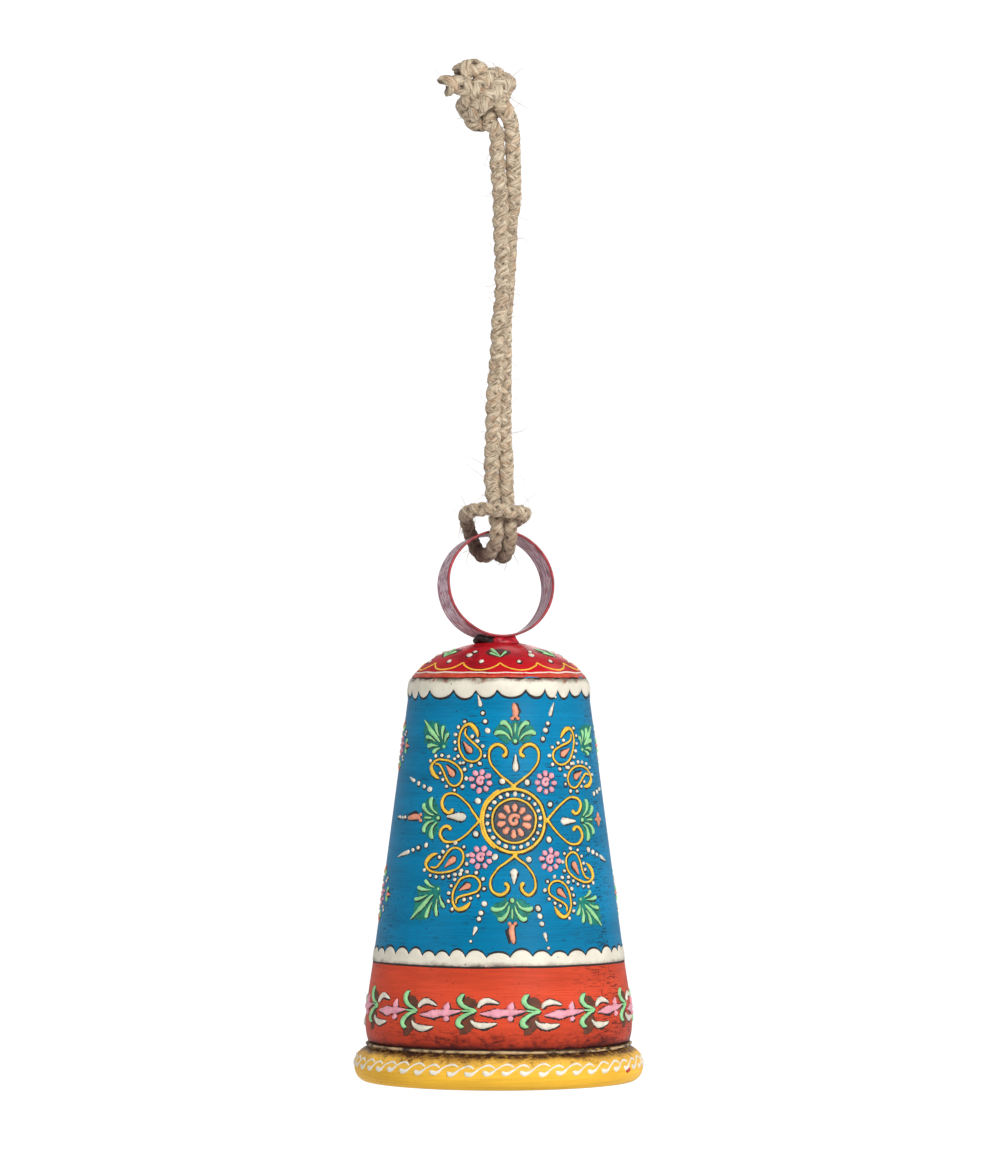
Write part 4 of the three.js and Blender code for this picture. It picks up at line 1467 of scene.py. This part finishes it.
class Enamels:
    """One relief for each colour, and below them the dark halos, which are antique wash and a painted shadow
    set down and to the right, and the leaf wash.
    """

    COLOURS = ("yellow", "cream", "coral", "pink", "mint")

    def __init__(self, label, seed):
        self.label = label
        self.colours = {name: Relief(seed + k) for k, name in enumerate(self.COLOURS)}
        self.shadow = Relief(seed + 20)
        self.wash = Relief(seed + 21)
        self.smoke = Relief(seed + 22)

    def shaded_stroke(self, colour, spot, line, width, height=0.42, taper=(0.35, 0.35), halo=0.42):
        self.colours[colour].stroke(spot, line, width, height, taper)
        if halo:
            wide = [w + halo * 2 for w in width] if isinstance(width, (list, tuple)) else width + halo * 2
            # The dark halo: antique wash and a painted shadow, set a little down and to the right.
            shifted = [(u + 0.14, v - 0.16) for u, v in line]
            self.shadow.stroke(spot, shifted, wide, 0.05, (0.3, 0.3), jitter=0.07)

    def shaded_drop(self, colour, spot, tail, head, width, height=0.5, bend=0.0, halo=0.42, tail_share=0.2):
        self.colours[colour].drop(spot, tail, head, width, height, bend, tail_share)
        # Dark halo of antique wash and painted shadow, set down and to the right.
        if halo:
            self.shadow.drop(spot, (tail[0] + 0.14, tail[1] - 0.14), (head[0] + 0.16, head[1] - 0.16),
                             width + halo * 2, 0.05, bend, max(tail_share, 0.35))

    def shaded_dot(self, colour, spot, u, v, radius, height=0.42, halo=0.34):
        self.colours[colour].dot(spot, u, v, radius, height)
        # Dark halo of antique wash and painted shadow, set down and to the right.
        if halo:
            self.shadow.dot(spot, u + 0.10, v - 0.12, radius + halo, 0.05)

    def build(self, finishes, slot="skirt_paint"):
        for name, relief in self.colours.items():
            if relief.store[0]:
                relief.build(f"{self.label}_{name}", finishes[name], slot)
        if self.shadow.store[0]:
            self.shadow.build(f"{self.label}_dirt_and_shadow", finishes["dirt"], slot)
        for name, relief in (("wash", self.wash), ("smoke", self.smoke)):
            if relief.store[0]:
                relief.build(f"{self.label}_{name}", finishes[name], slot)


def enamel_finishes(paint):
    names = {"yellow": paint.line_yellow, "cream": paint.cream, "coral": paint.coral, "pink": paint.pink,
             "mint": paint.mint}
    made = bpy.data.materials
    found = {}
    for name, colour in names.items():
        label = f"{name} raised enamel"
        found[name] = made.get(label) or enamel(label, tuple(colour), 0.82)
    # The halos' colour: antique dirt with painted shadow.
    found["dirt"] = made.get("antique dirt and painted shadow") or wash_film("antique dirt and painted shadow", tuple(paint.dirt), 1.0)
    found["wash"] = made.get("leaf wash") or wash_film("leaf wash", tuple(paint.deep_green), 0.88)
    found["smoke"] = made.get("smoke") or wash_film("smoke", (0.075, 0.08, 0.085), 0.7)
    return found


def draw_ring(art, spot, radius, width, colour="yellow"):
    line = [(radius * math.sin(a), radius * math.cos(a)) for a in (math.tau * k / 28 for k in range(30))]
    art.shaded_stroke(colour, spot, line, width)


def draw_swirl(art, spot, centre, radius, colour, width):
    line = []
    for k in range(13):
        a = k * 0.62
        reach = radius * (0.18 + 0.82 * k / 12)
        line.append((centre[0] + reach * math.sin(a), centre[1] + reach * math.cos(a)))
    art.shaded_stroke(colour, spot, line, width, halo=0.25)


def draw_flower(art, spot, centre, reach, petals, colour, petal_width, turn=0.0, petal_long=2.0):
    """Round petals about a small swirl."""
    draw_swirl(art, spot, centre, reach * 0.42, colour, petal_width * 0.62)
    for k in range(petals):
        a = turn + math.tau * (k + art.shadow.dice.uniform(-0.08, 0.08)) / petals
        way = (math.sin(a), math.cos(a))
        inner, outer = reach - petal_long * 0.5, reach + petal_long * art.shadow.dice.uniform(0.2, 0.34)
        art.shaded_drop(colour, spot, (centre[0] + way[0] * inner, centre[1] + way[1] * inner),
                        (centre[0] + way[0] * outer, centre[1] + way[1] * outer), petal_width, 0.5,
                        tail_share=0.5)


def heading(degrees):
    """The turn that points a figure drawn upwards to a direction measured from the right."""
    return math.radians(degrees - 90)


def draw_lobe(art, spot, turn, flip, spread, reach, line_width):
    """One scroll of a heart: it springs from the rings, swings out and curls in to a ball."""
    wide, tall = spread / 8.0, reach / 24.2
    line = ((-0.8, 10.4), (1.6, 12.2), (4.9, 15.0), (7.3, 18.0), (8.0, 20.6), (7.4, 22.9), (5.4, 24.2),
            (3.4, 23.6),
            (2.3, 22.2), (2.5, 20.9), (3.6, 20.3))
    place = turned_about(turn, flip=flip)
    art.shaded_stroke("yellow", spot, [place(u * wide, v * (tall if v > 14 else 1)) for u, v in line],
                      [line_width * w for w in (1.1, 0.85, 0.7, 0.72, 0.8, 1.0, 1.15, 1.15, 1.1, 1.25, 1.6)],
                      halo=0.3)


def draw_paisley(art, spot, centre, degrees, length, flip, line_width):
    """A curled drop outlined in yellow, with a coral drop inside and dots all round."""
    stretch = length / 8.4
    turn = turned_about(heading(degrees), centre, flip)
    place = lambda u, v: turn(u, v * stretch if v > 0 else v)
    outline = ((2.5, 4.2), (2.3, 5.6), (1.5, 7.3), (-0.1, 8.4), (-2.2, 7.5), (-3.5, 5.3), (-3.9, 2.4),
               (-3.4, -0.6),
               (-1.6, -2.8), (0.8, -3.4), (2.8, -2.2), (3.1, 0.0), (1.5, 2.0), (-0.5, 3.7), (-1.7, 5.4),
               (-1.3, 7.2))
    widths = (0.35, 1.25, 1.7, 1.3, 0.85) + (0.75,) * 10 + (0.6,)
    art.shaded_stroke("yellow", spot, moved(place, outline), [line_width * w for w in widths], halo=0.26)
    art.shadow.drop(spot, place(-2.6, 3.0), place(0.3, -1.0), 3.0, 0.05)
    art.shaded_drop("coral", spot, place(-2.3, 2.9), place(0.2, -0.7), 1.9, 0.55, halo=0)
    outer = smooth_line([(*place(u, v), 0) for u, v in outline[3:14]], 0.2)
    walked, gap = 0.0, 1.1
    for a, b in zip(outer, outer[1:]):
        walked += (b - a).length
        if walked >= gap:
            side = Vector((b.y - a.y, a.x - b.x)).normalized() * 1.35 * flip
            art.shaded_dot("cream", spot, b.x + side.x, b.y + side.y, 0.56, halo=0.3)
            gap += 2.05


def draw_leaf_fan(art, spot, centre, degrees, length):
    """One long leaf with three shorter ones on each side, over a dark green wash."""
    scale = length / 12.5
    turn = turned_about(heading(degrees), centre)
    place = lambda u, v: turn(u * scale, v * scale)
    art.wash.stroke(spot, moved(place, ((0.4, -0.6), (0.3, 3.4), (-0.3, 7.4), (-0.2, 11.6))),
                    [3.0, 8.5, 8.0, 2.2], 0.035, (1.6, 1.6), jitter=0.12)
    rib = moved(place, ((0.1, 2.4), (0.1, 4.6), (0.0, 7.2), (0, 9.8), (0.1, 12.5)))
    art.shaded_stroke("mint", spot, rib, [0.5, 1.2, 1.6, 0.95, 0.4], 0.5, (0.4, 0.5), halo=0.36)
    for side in (-1, 1):
        for lean, near, far in ((21, 4.0, 8.6), (43, 2.6, 7.1), (67, 1.6, 5.0)):
            a = math.radians(lean) * side
            art.shaded_drop("mint", spot, place(near * math.sin(a * 0.8), near * math.cos(a * 0.8)),
                            place(far * math.sin(a), far * math.cos(a)), 1.25, 0.5, bend=0.35 * side,
                            halo=0.38)
    art.shaded_dot("mint", spot, *place(0.2, 0.2), 0.5, halo=0)


def draw_axis_spray(art, spot, degrees, shift, bud):
    """Two leaves arching to each side of a coral bud, on one of the mandala's axes."""
    turn = turned_about(heading(degrees))
    place = lambda u, v: turn(u + shift, v)
    art.wash.stroke(spot, moved(place, ((-6.4, 28.6), (-2.5, 27.9), (2.5, 27.9), (6.4, 28.6))),
                    [3.4, 6.6, 6.6, 3.4], 0.035, (1.4, 1.4), jitter=0.12)
    for side in (-1, 1):
        for leaf, tip in ((((0.9, 26.6), (1.6, 29.0), (3.4, 30.9), (4.6, 30.3)), 1.1),
                          (((1.3, 25.4), (2.9, 27.3), (5.4, 27.9), (6.6, 27.0)), 1.0)):
            line = [place(side * u, v) for u, v in leaf]
            art.shaded_stroke("mint", spot, line, [0.4, 0.8, 1.5, tip], 0.5, (0.3, 0.5), halo=0.3)
    art.shaded_stroke("mint", spot, [place(0, 27.6), place(0, 30.8)], [0.5, 0.7], 0.4, halo=0.2)
    art.shaded_dot("mint", spot, *place(0, 25.0), 0.7)
    if bud == "star":
        for across, out in ((-2.3, 35.0), (2.3, 35.0), (0, 32.6), (0, 37.4)):
            art.shaded_drop("coral", spot, place(across, out), place(across * 0.12, 35 + (out - 35) * 0.15),
                            1.5, 0.5)
        return
    for side in (-1, 1):
        art.shaded_drop("coral", spot, place(side * 0.3, 33.1), place(side * 1.25, 31.7), 1.3, 0.5)
    art.shadow.drop(spot, place(0.9, bud), place(1.1, 33.4), 2.4, 0.05)
    line = moved(place, ((0, 32.4), (0.3, 34.4), (0, (34.4 + bud) / 2), (-0.4, bud)))
    art.shaded_stroke("coral", spot, line, [1.3, 1.9, 1.7, 0.8], 0.55, (0.4, 0.6), halo=0.26)


def draw_ray(art, spot, degrees, dots, drop_from, drop_to, last_dot):
    """A row of dots that ends in a drop flung outwards."""
    place = turned_about(heading(degrees))
    for k, reach in enumerate(dots):
        art.shaded_dot("cream", spot, *place(0, reach), 0.80 - 0.07 * k, halo=0.34)
    art.shaded_drop("cream", spot, place(0, drop_to), place(0, drop_from), 1.3, 0.45, halo=0.24)
    if last_dot:
        art.shaded_dot("cream", spot, *place(0, last_dot), 0.5, halo=0.2)


class BELL_OT_mandalas(bpy.types.Operator):
    """Lays the two enamel mandalas on the skirt"""
    bl_idname = "bell.mandalas"
    bl_label = "Mandalas"

    AZIMUTH = math.radians(-8.9)
    HEIGHT = -219.1
    # each heart scroll: heart's heading, side, how far it swings out, how far it reaches
    LOBES = ((90, 1, 8.4, 24.1), (90, -1, 7.6, 24.1), (180, 1, 8.5, 23.6), (180, -1, 6.8, 24.4),
             (0, -1, 7.2, 24.6), (0, 1, 7.7, 24.7), (270, -1, 6.4, 23.3), (270, 1, 7.9, 23.3))
    # each heart's drop: heading, sideways shift, tail, head, width
    HEART_DROPS = ((90, 0.7, 20.9, 15.4, 1.9), (180, 1.2, 21.9, 15.2, 2.6), (0, 0.3, 22.0, 15.7, 2.2),
                   (270, 0.4, 19.9, 15.0, 2.3))
    # each paisley: middle of its belly, heading, length to the tip, side its hook falls to
    PAISLEYS = ((-13.3, 22.0, 91, 8.4, 1), (-19.6, 14.3, 163, 8.6, -1), (17.0, 20.8, 66, 9.0, -1),
                (22.6, 13.3, -5, 8.8, 1), (-19.6, -11.8, 191, 10.6, 1), (-14.6, -20.5, 242, 8.3, -1),
                (20.6, -13.7, -27, 9.8, -1), (14.2, -22.3, -76, 8.3, 1))
    FANS = ((-22.6, 23.0, 135, 12.3), (26.6, 22.2, 42, 11.4), (-24.8, -21.6, 220, 15.4),
            (22.8, -24.8, -41, 13.8))
    SPRAYS = ((90, 0.8, 37.2), (180, 0.7, 39.0), (0, 0.1, "star"), (270, 1.2, 38.6))
    # each flower: middle and turn of its first petal
    FLOWERS = ((-10.4, 12.4, 0.2), (10.6, 11.9, 0.0), (-10.7, -11.6, 0.35), (11.6, -12.4, 0.1))
    # each ray: heading, its dots, the drop's head and tail, and a last small dot or none
    RAYS = ((105.3, (29.4, 32.4, 35.2), 37.2, 41.2, None), (69, (27.6, 30.6, 32.8), 35.2, 40.0, 41.8),
            (161, (30.0, 32.5, 35.4), 37.4, 41.0, None), (195, (30.9, 34.4, 37.0), 38.8, 46.5, None),
            (13.7, (34.0, 36.7), 38.6, 42.0, None), (-19, (29.1, 31.8, 34.2), 36.2, 41.4, None),
            (-110.8, (27.8, 30.9, 32.9), 35.4, 38.4, 40.4), (-75.6, (28.4, 30.9, 33.4), 36.2, 39.4, 41.3))
    LONE_DOTS = (23, 70, 106, 151, 199, 241, 290, 332)

    def execute(self, context):
        finishes = enamel_finishes(context.scene.bell_paint)
        form = context.scene.bell_form
        for name, azimuth, seed in (("front_mandala", self.AZIMUTH, 100),
                                    ("rear_mandala", self.AZIMUTH + math.pi, 200)):
            art = Enamels(name, seed)
            self.lay_out(art, Patch(azimuth, self.HEIGHT).spot, form)
            art.build(finishes)
        return {"FINISHED"}

    def lay_out(self, art, spot, form):
        line, dot = form.line / MM, form.dot / MM
        self.rosette(art, spot, form.mandala_petals, line)
        for k in range(22):
            a = math.tau * k / 22 + 0.05
            art.shaded_dot("cream", spot, 8.45 * math.sin(a), 8.45 * math.cos(a), dot, halo=0.3)
        for degrees, flip, spread, reach in self.LOBES:
            draw_lobe(art, spot, heading(degrees), flip, spread, reach, line)
        for degrees, shift, tail, head, width in self.HEART_DROPS:
            place = turned_about(heading(degrees))
            art.shaded_drop("cream", spot, place(shift, tail), place(shift, head), width, 0.55)
        for u, v, degrees, length, flip in self.PAISLEYS:
            draw_paisley(art, spot, (u, v), degrees, length, flip, line)
        for u, v, degrees, length in self.FANS:
            draw_leaf_fan(art, spot, (u, v), degrees, length)
        for spray in self.SPRAYS:
            draw_axis_spray(art, spot, *spray)
        for u, v, turn in self.FLOWERS:
            draw_flower(art, spot, (u, v), 3.2, 8, "pink", 2.05, turn, 2.5)
        for ray in self.RAYS:
            draw_ray(art, spot, *ray)
        for degrees in self.LONE_DOTS:
            place = turned_about(heading(degrees))
            art.shaded_dot("cream", spot, *place(0, 12.9), 0.84, halo=0.36)
        place = turned_about(heading(180))
        for reach, radius in ((40.6, 0.62), (42.2, 0.5)):
            art.shaded_dot("cream", spot, *place(0.6, reach), radius)
        art.shaded_drop("cream", spot, place(0.6, 47.0), place(0.6, 43.4), 0.9, 0.45)

    def rosette(self, art, spot, petals, line):
        """The swirl and its petals on a smoky ground, inside two hand-drawn rings."""
        ground = [(4.3 * math.sin(a), 4.3 * math.cos(a)) for a in (math.tau * k / 16 for k in range(18))]
        art.smoke.stroke(spot, ground, 4.6, 0.03, jitter=0.1)
        draw_flower(art, spot, (0, 0), 4.55, petals, "coral", 2.08, 0.1, 3.6)
        draw_ring(art, spot, 6.95, line * 0.75)
        draw_ring(art, spot, 9.95, line * 1.05)
        turns = [math.radians(degrees) for degrees in range(215, 345, 10)]
        left_arc = [(10.65 * math.sin(a), 10.65 * math.cos(a)) for a in turns]
        art.shaded_stroke("yellow", spot, left_arc, line * 0.7, halo=0.2)


class BELL_OT_side_sprigs(bpy.types.Operator):
    """Lays the small flower sprigs between the mandalas"""
    bl_idname = "bell.side_sprigs"
    bl_label = "Side Sprigs"

    def execute(self, context):
        finishes = enamel_finishes(context.scene.bell_paint)
        for name, side, seed in (("left_sprigs", -1, 300), ("right_sprigs", 1, 400)):
            art = Enamels(name, seed)
            azimuth = BELL_OT_mandalas.AZIMUTH + side * math.pi / 2
            for height, reach in ((-196.0, 4.4), (-243.0, 5.0)):
                spot = Patch(azimuth, height).spot
                draw_flower(art, spot, (0, 0), reach * 0.62, 7, "pink", 1.3, 0.3, 2.0)
                for k in range(4):
                    turn = math.radians(90 * k)
                    place = turned_about(turn)
                    art.shaded_drop("coral", spot, place(0, reach * 1.9), place(0, reach * 1.25), 1.5, 0.5)
                    for flip in (-1, 1):
                        art.shaded_drop("mint", spot, place(flip * 0.6, reach * 1.05),
                                        place(flip * 2.4, reach * 1.45), 1.2, 0.45, bend=0.4 * flip)
                    place = turned_about(turn + math.radians(45))
                    art.shaded_dot("cream", spot, *place(0, reach * 1.15), 0.55)
                    art.shaded_dot("cream", spot, *place(0, reach * 1.45), 0.45)
            art.build(finishes)
        return {"FINISHED"}


class BELL_OT_vine(bpy.types.Operator):
    """Lays the flowering vine round the lower band"""
    bl_idname = "bell.vine"
    bl_label = "Band Vine"

    UNITS = 13
    HEIGHT = -278.2

    def execute(self, context):
        paint = context.scene.bell_paint
        finishes = dict(enamel_finishes(paint))
        finishes["wash"] = wash_film("vine shadow", (0.13, 0.035, 0.012), 0.92)
        art = Enamels("vine", 500)
        dice = random.Random(77)
        for k in range(self.UNITS):
            azimuth = FACING + math.radians(-8.6) + math.tau * k / self.UNITS
            spot = Patch(azimuth, self.HEIGHT + dice.uniform(-0.5, 0.5),
                         math.radians(dice.uniform(-2.5, 2.5))).spot
            self.unit(art, spot, dice)
        art.build(finishes)
        return {"FINISHED"}

    def unit(self, art, spot, dice):
        """One repeat: a bud to the right of one leaf joint, and the next joint's leaves."""
        grow = dice.uniform(0.92, 1.08)
        joint = lambda u, v: (19.6 + u, v * grow)
        for patch, widths, foot in ((((-4.2, 3.9), (-2.0, 2.7), (0, 1.2)), [1.8, 3.0, 1.8], 0.8),
                                    (((-0.8, -1.8), (-2.8, -4.9), (-5.2, -7.6)), [2.0, 3.9, 1.5], 1.0)):
            art.wash.stroke(spot, moved(joint, patch), widths, 0.035, (0.8, foot))
        bud = ((0.2, -1.0), (2.8, -0.9), (5.6, -0.8), (8.0, -0.5), (10.0, -0.4), (12.4, -0.2), (14.8, 0.1))
        widths = [0.4, 1.5, 2.8 * grow, 2.0, 2.2, 1.3, 0.4]
        art.shaded_stroke("pink", spot, bud, widths, 0.6, (0.6, 0.6), halo=0.4)
        art.shaded_drop("pink", spot, (10.4, 3.0 * grow), (9.7, 0.2), 2.6, 0.6, halo=0.36)
        art.shaded_drop("pink", spot, (10.8, -1.9), (9.1, -2.9 * grow), 2.0, 0.6, halo=0.4, tail_share=0.6)
        for colour, knots, widths in (
            ("mint", ((0, 0.1), (-1.8, 0.7), (-4.2, 1.6), (-5.5, 3.3), (-4.9, 4.8), (-3.8, 5.5)),
             (0.4, 0.8, 1.3, 1.75, 1.4, 0.5)),
            ("mint", ((-0.2, -0.5), (-2.2, -0.9), (-4.5, -2.1), (-5.8, -3.6), (-5.3, -4.9), (-3.8, -5.2)),
             (0.5, 0.9, 1.4, 1.8, 1.5, 0.7)),
            ("mint", ((-5.0, 0.2), (-2.5, 0.0), (0.2, 0.0)), (0.4, 0.6, 0.9)),
            ("cream", ((0.4, 0.8), (1.2, 2.2), (2.9, 3.0), (5.0, 2.7), (7.2, 1.9)),
             (0.8, 1.5, 1.75, 1.2, 0.4)),
            ("cream", ((-1.8, -3.0), (-0.6, -4.3), (1.5, -5.0), (3.9, -4.9), (6.6, -4.3)),
             (0.5, 1.3, 2.0, 1.5, 0.4)),
        ):
            lean = dice.uniform(-0.25, 0.25)
            art.shaded_stroke(colour, spot, [joint(u, v + lean * u / 6) for u, v in knots], list(widths),
                              0.55,
                              (0.4, 0.7), halo=0.36)


class BELL_OT_rim_scroll(bpy.types.Operator):
    """Runs the white wave scroll round the rim"""
    bl_idname = "bell.rim_scroll"
    bl_label = "Rim Scroll"

    UNITS = 50
    HEIGHT = -297.2

    def execute(self, context):
        art = Relief(600)
        finish = enamel("white scroll enamel", (0.88, 0.83, 0.70), 0.9)
        dice = random.Random(31)
        for k in range(self.UNITS):
            azimuth = math.tau * k / self.UNITS
            spot = Patch(azimuth, self.HEIGHT + dice.uniform(-0.25, 0.25), 0, dice.uniform(0.90, 1.06)).spot
            art.stroke(spot, [(-1.2, 0.7), (-0.3, -0.1), (1.2, 0.1), (3.0, 1.4), (4.8, 2.5), (6.4, 2.75),
                              (8.2, 1.8)],
                       [0.8, 1.6, 1.05, 0.52, 0.6, 0.8, 0.35], 0.36, (0.4, 0.5))
        art.build("rim_scroll", finish, "rim_paint")
        stray = Relief(610)
        spot = Patch(FACING + math.radians(62), self.HEIGHT - 0.9).spot
        stray.stroke(spot, [(-1.5, -0.2), (0.0, 0.1), (1.3, 0.4)], [1.1, 1.7, 1.0], 0.3, (0.5, 0.5))
        stray.build("rim_stray_dab", enamel("stray red enamel", (0.55, 0.03, 0.02), 0.8), "rim_paint")
        return {"FINISHED"}


class BELL_OT_crown_ornament(bpy.types.Operator):
    """Paints the crown's garlands, sprigs, dots and stripes"""
    bl_idname = "bell.crown_ornament"
    bl_label = "Crown Ornament"

    GARLANDS = 12

    def execute(self, context):
        paint = context.scene.bell_paint
        finishes = dict(enamel_finishes(paint))
        finishes["wash"] = wash_film("crown shadow", (0.10, 0.012, 0.012), 0.9)
        art = Enamels("crown", 700)
        cusp, belly = run_at(-169.6), run_at(-171.9)
        step = math.tau / self.GARLANDS
        start = FACING + math.radians(1.0)
        for k in range(self.GARLANDS):
            first = start + k * step
            line = [(first + step * t, cusp + (belly - cusp) * math.sin(math.pi * t) ** 0.7)
                    for t in (0.0, 0.06, 0.15, 0.3, 0.5, 0.7, 0.85, 0.94, 1.0)]
            art.colours["yellow"].stroke(on_bell, line, 0.54, 0.32, step=0.03)
            art.shaded_dot("cream", Patch(first + step / 2, -169.0).spot, 0, -0.4, 0.72)
            joint = Patch(first, -167.0).spot
            if k % 2 == 0:
                self.sprig(art, joint)
            else:
                art.shaded_dot("cream", joint, 1.0, 1.9, 0.72)
                art.shaded_dot("cream", joint, 0.2, -0.6, 0.95)
        self.stripes(paint)
        art.build(finishes, "crown_paint")
        return {"FINISHED"}

    def sprig(self, art, spot):
        """Three leaves fanned from one foot on a dark patch."""
        art.wash.stroke(spot, [(-4.6, 1.4), (-1.6, 1.8), (1.6, 1.2), (3.2, 0.2)], [3.2, 6.4, 6.0, 3.0], 0.035,
                        (1.2, 1.2))
        for u, v in ((-2.7, 4.6), (-3.2, 1.2), (2.0, 2.2)):
            art.shaded_drop("mint", spot, (0.1, -1.6), (u, v), 1.0, 0.45, halo=0.2)

    def stripes(self, paint):
        """A thin white line and an orange stripe under the garlands."""
        for name, height, width, finish in (
            ("crown_white_line", -172.7, 0.55, enamel("crown white", tuple(paint.cream), 0.9)),
            ("crown_orange_stripe", -173.7, 1.3, enamel("crown orange", tuple(paint.orange_red), 0.8)),
        ):
            relief = Relief(800)
            run = run_at(height)
            line = [(math.tau * k / 60, run + 0.12 * math.sin(k * 1.7)) for k in range(61)]
            relief.stroke(on_bell, line, width, 0.12, step=0.02)
            relief.build(name, finish, "crown_paint")
        worn = Relief(810)
        dice = random.Random(12)
        for angle in [dice.uniform(0, math.tau) for _ in range(7)]:
            place = Patch(angle, -174.15).spot
            worn.stroke(place, [(-2.2, 0), (0, 0.1), (dice.uniform(1.5, 3.5), 0)], [0.4, 0.8, 0.3], 0.16)
        worn.build("crown_blue_dabs", enamel("crown blue", tuple(paint.blue), 0.8), "crown_paint")


# ---- panel and registration ------------

OPERATORS = (BELL_OT_studio, BELL_OT_cord, BELL_OT_shells, BELL_OT_inside, BELL_OT_ring, BELL_OT_borders,
             BELL_OT_mandalas, BELL_OT_side_sprigs, BELL_OT_vine, BELL_OT_rim_scroll, BELL_OT_crown_ornament)
GROUPS = {"bell_paint": BellPaint, "bell_form": BellForm, "cord_form": CordForm, "studio_form": StudioForm}


class BELL_PT_pieces(bpy.types.Panel):
    """Lists the bell's pieces"""
    bl_idname = "BELL_PT_pieces"
    bl_label = "Painted Bell"
    bl_space_type = "VIEW_3D"
    bl_region_type = "UI"
    bl_category = "Bell"

    def draw(self, context):
        for operator in OPERATORS:
            self.layout.operator(operator.bl_idname)
        for key, group in GROUPS.items():
            box = self.layout.box()
            for name in group.__annotations__:
                box.prop(getattr(context.scene, key), name)


def register():
    for group in GROUPS.values():
        bpy.utils.register_class(group)
    for key, group in GROUPS.items():
        setattr(bpy.types.Scene, key, PointerProperty(type=group))
    for operator in OPERATORS:
        bpy.utils.register_class(operator)
    bpy.utils.register_class(BELL_PT_pieces)


def unregister():
    bpy.utils.unregister_class(BELL_PT_pieces)
    for operator in reversed(OPERATORS):
        bpy.utils.unregister_class(operator)
    for key in GROUPS:
        delattr(bpy.types.Scene, key)
    for group in reversed(list(GROUPS.values())):
        bpy.utils.unregister_class(group)


def main():
    register()
    for operator in OPERATORS:
        group, name = operator.bl_idname.split(".")
        getattr(getattr(bpy.ops, group), name)()


if __name__ == "__main__":
    main()
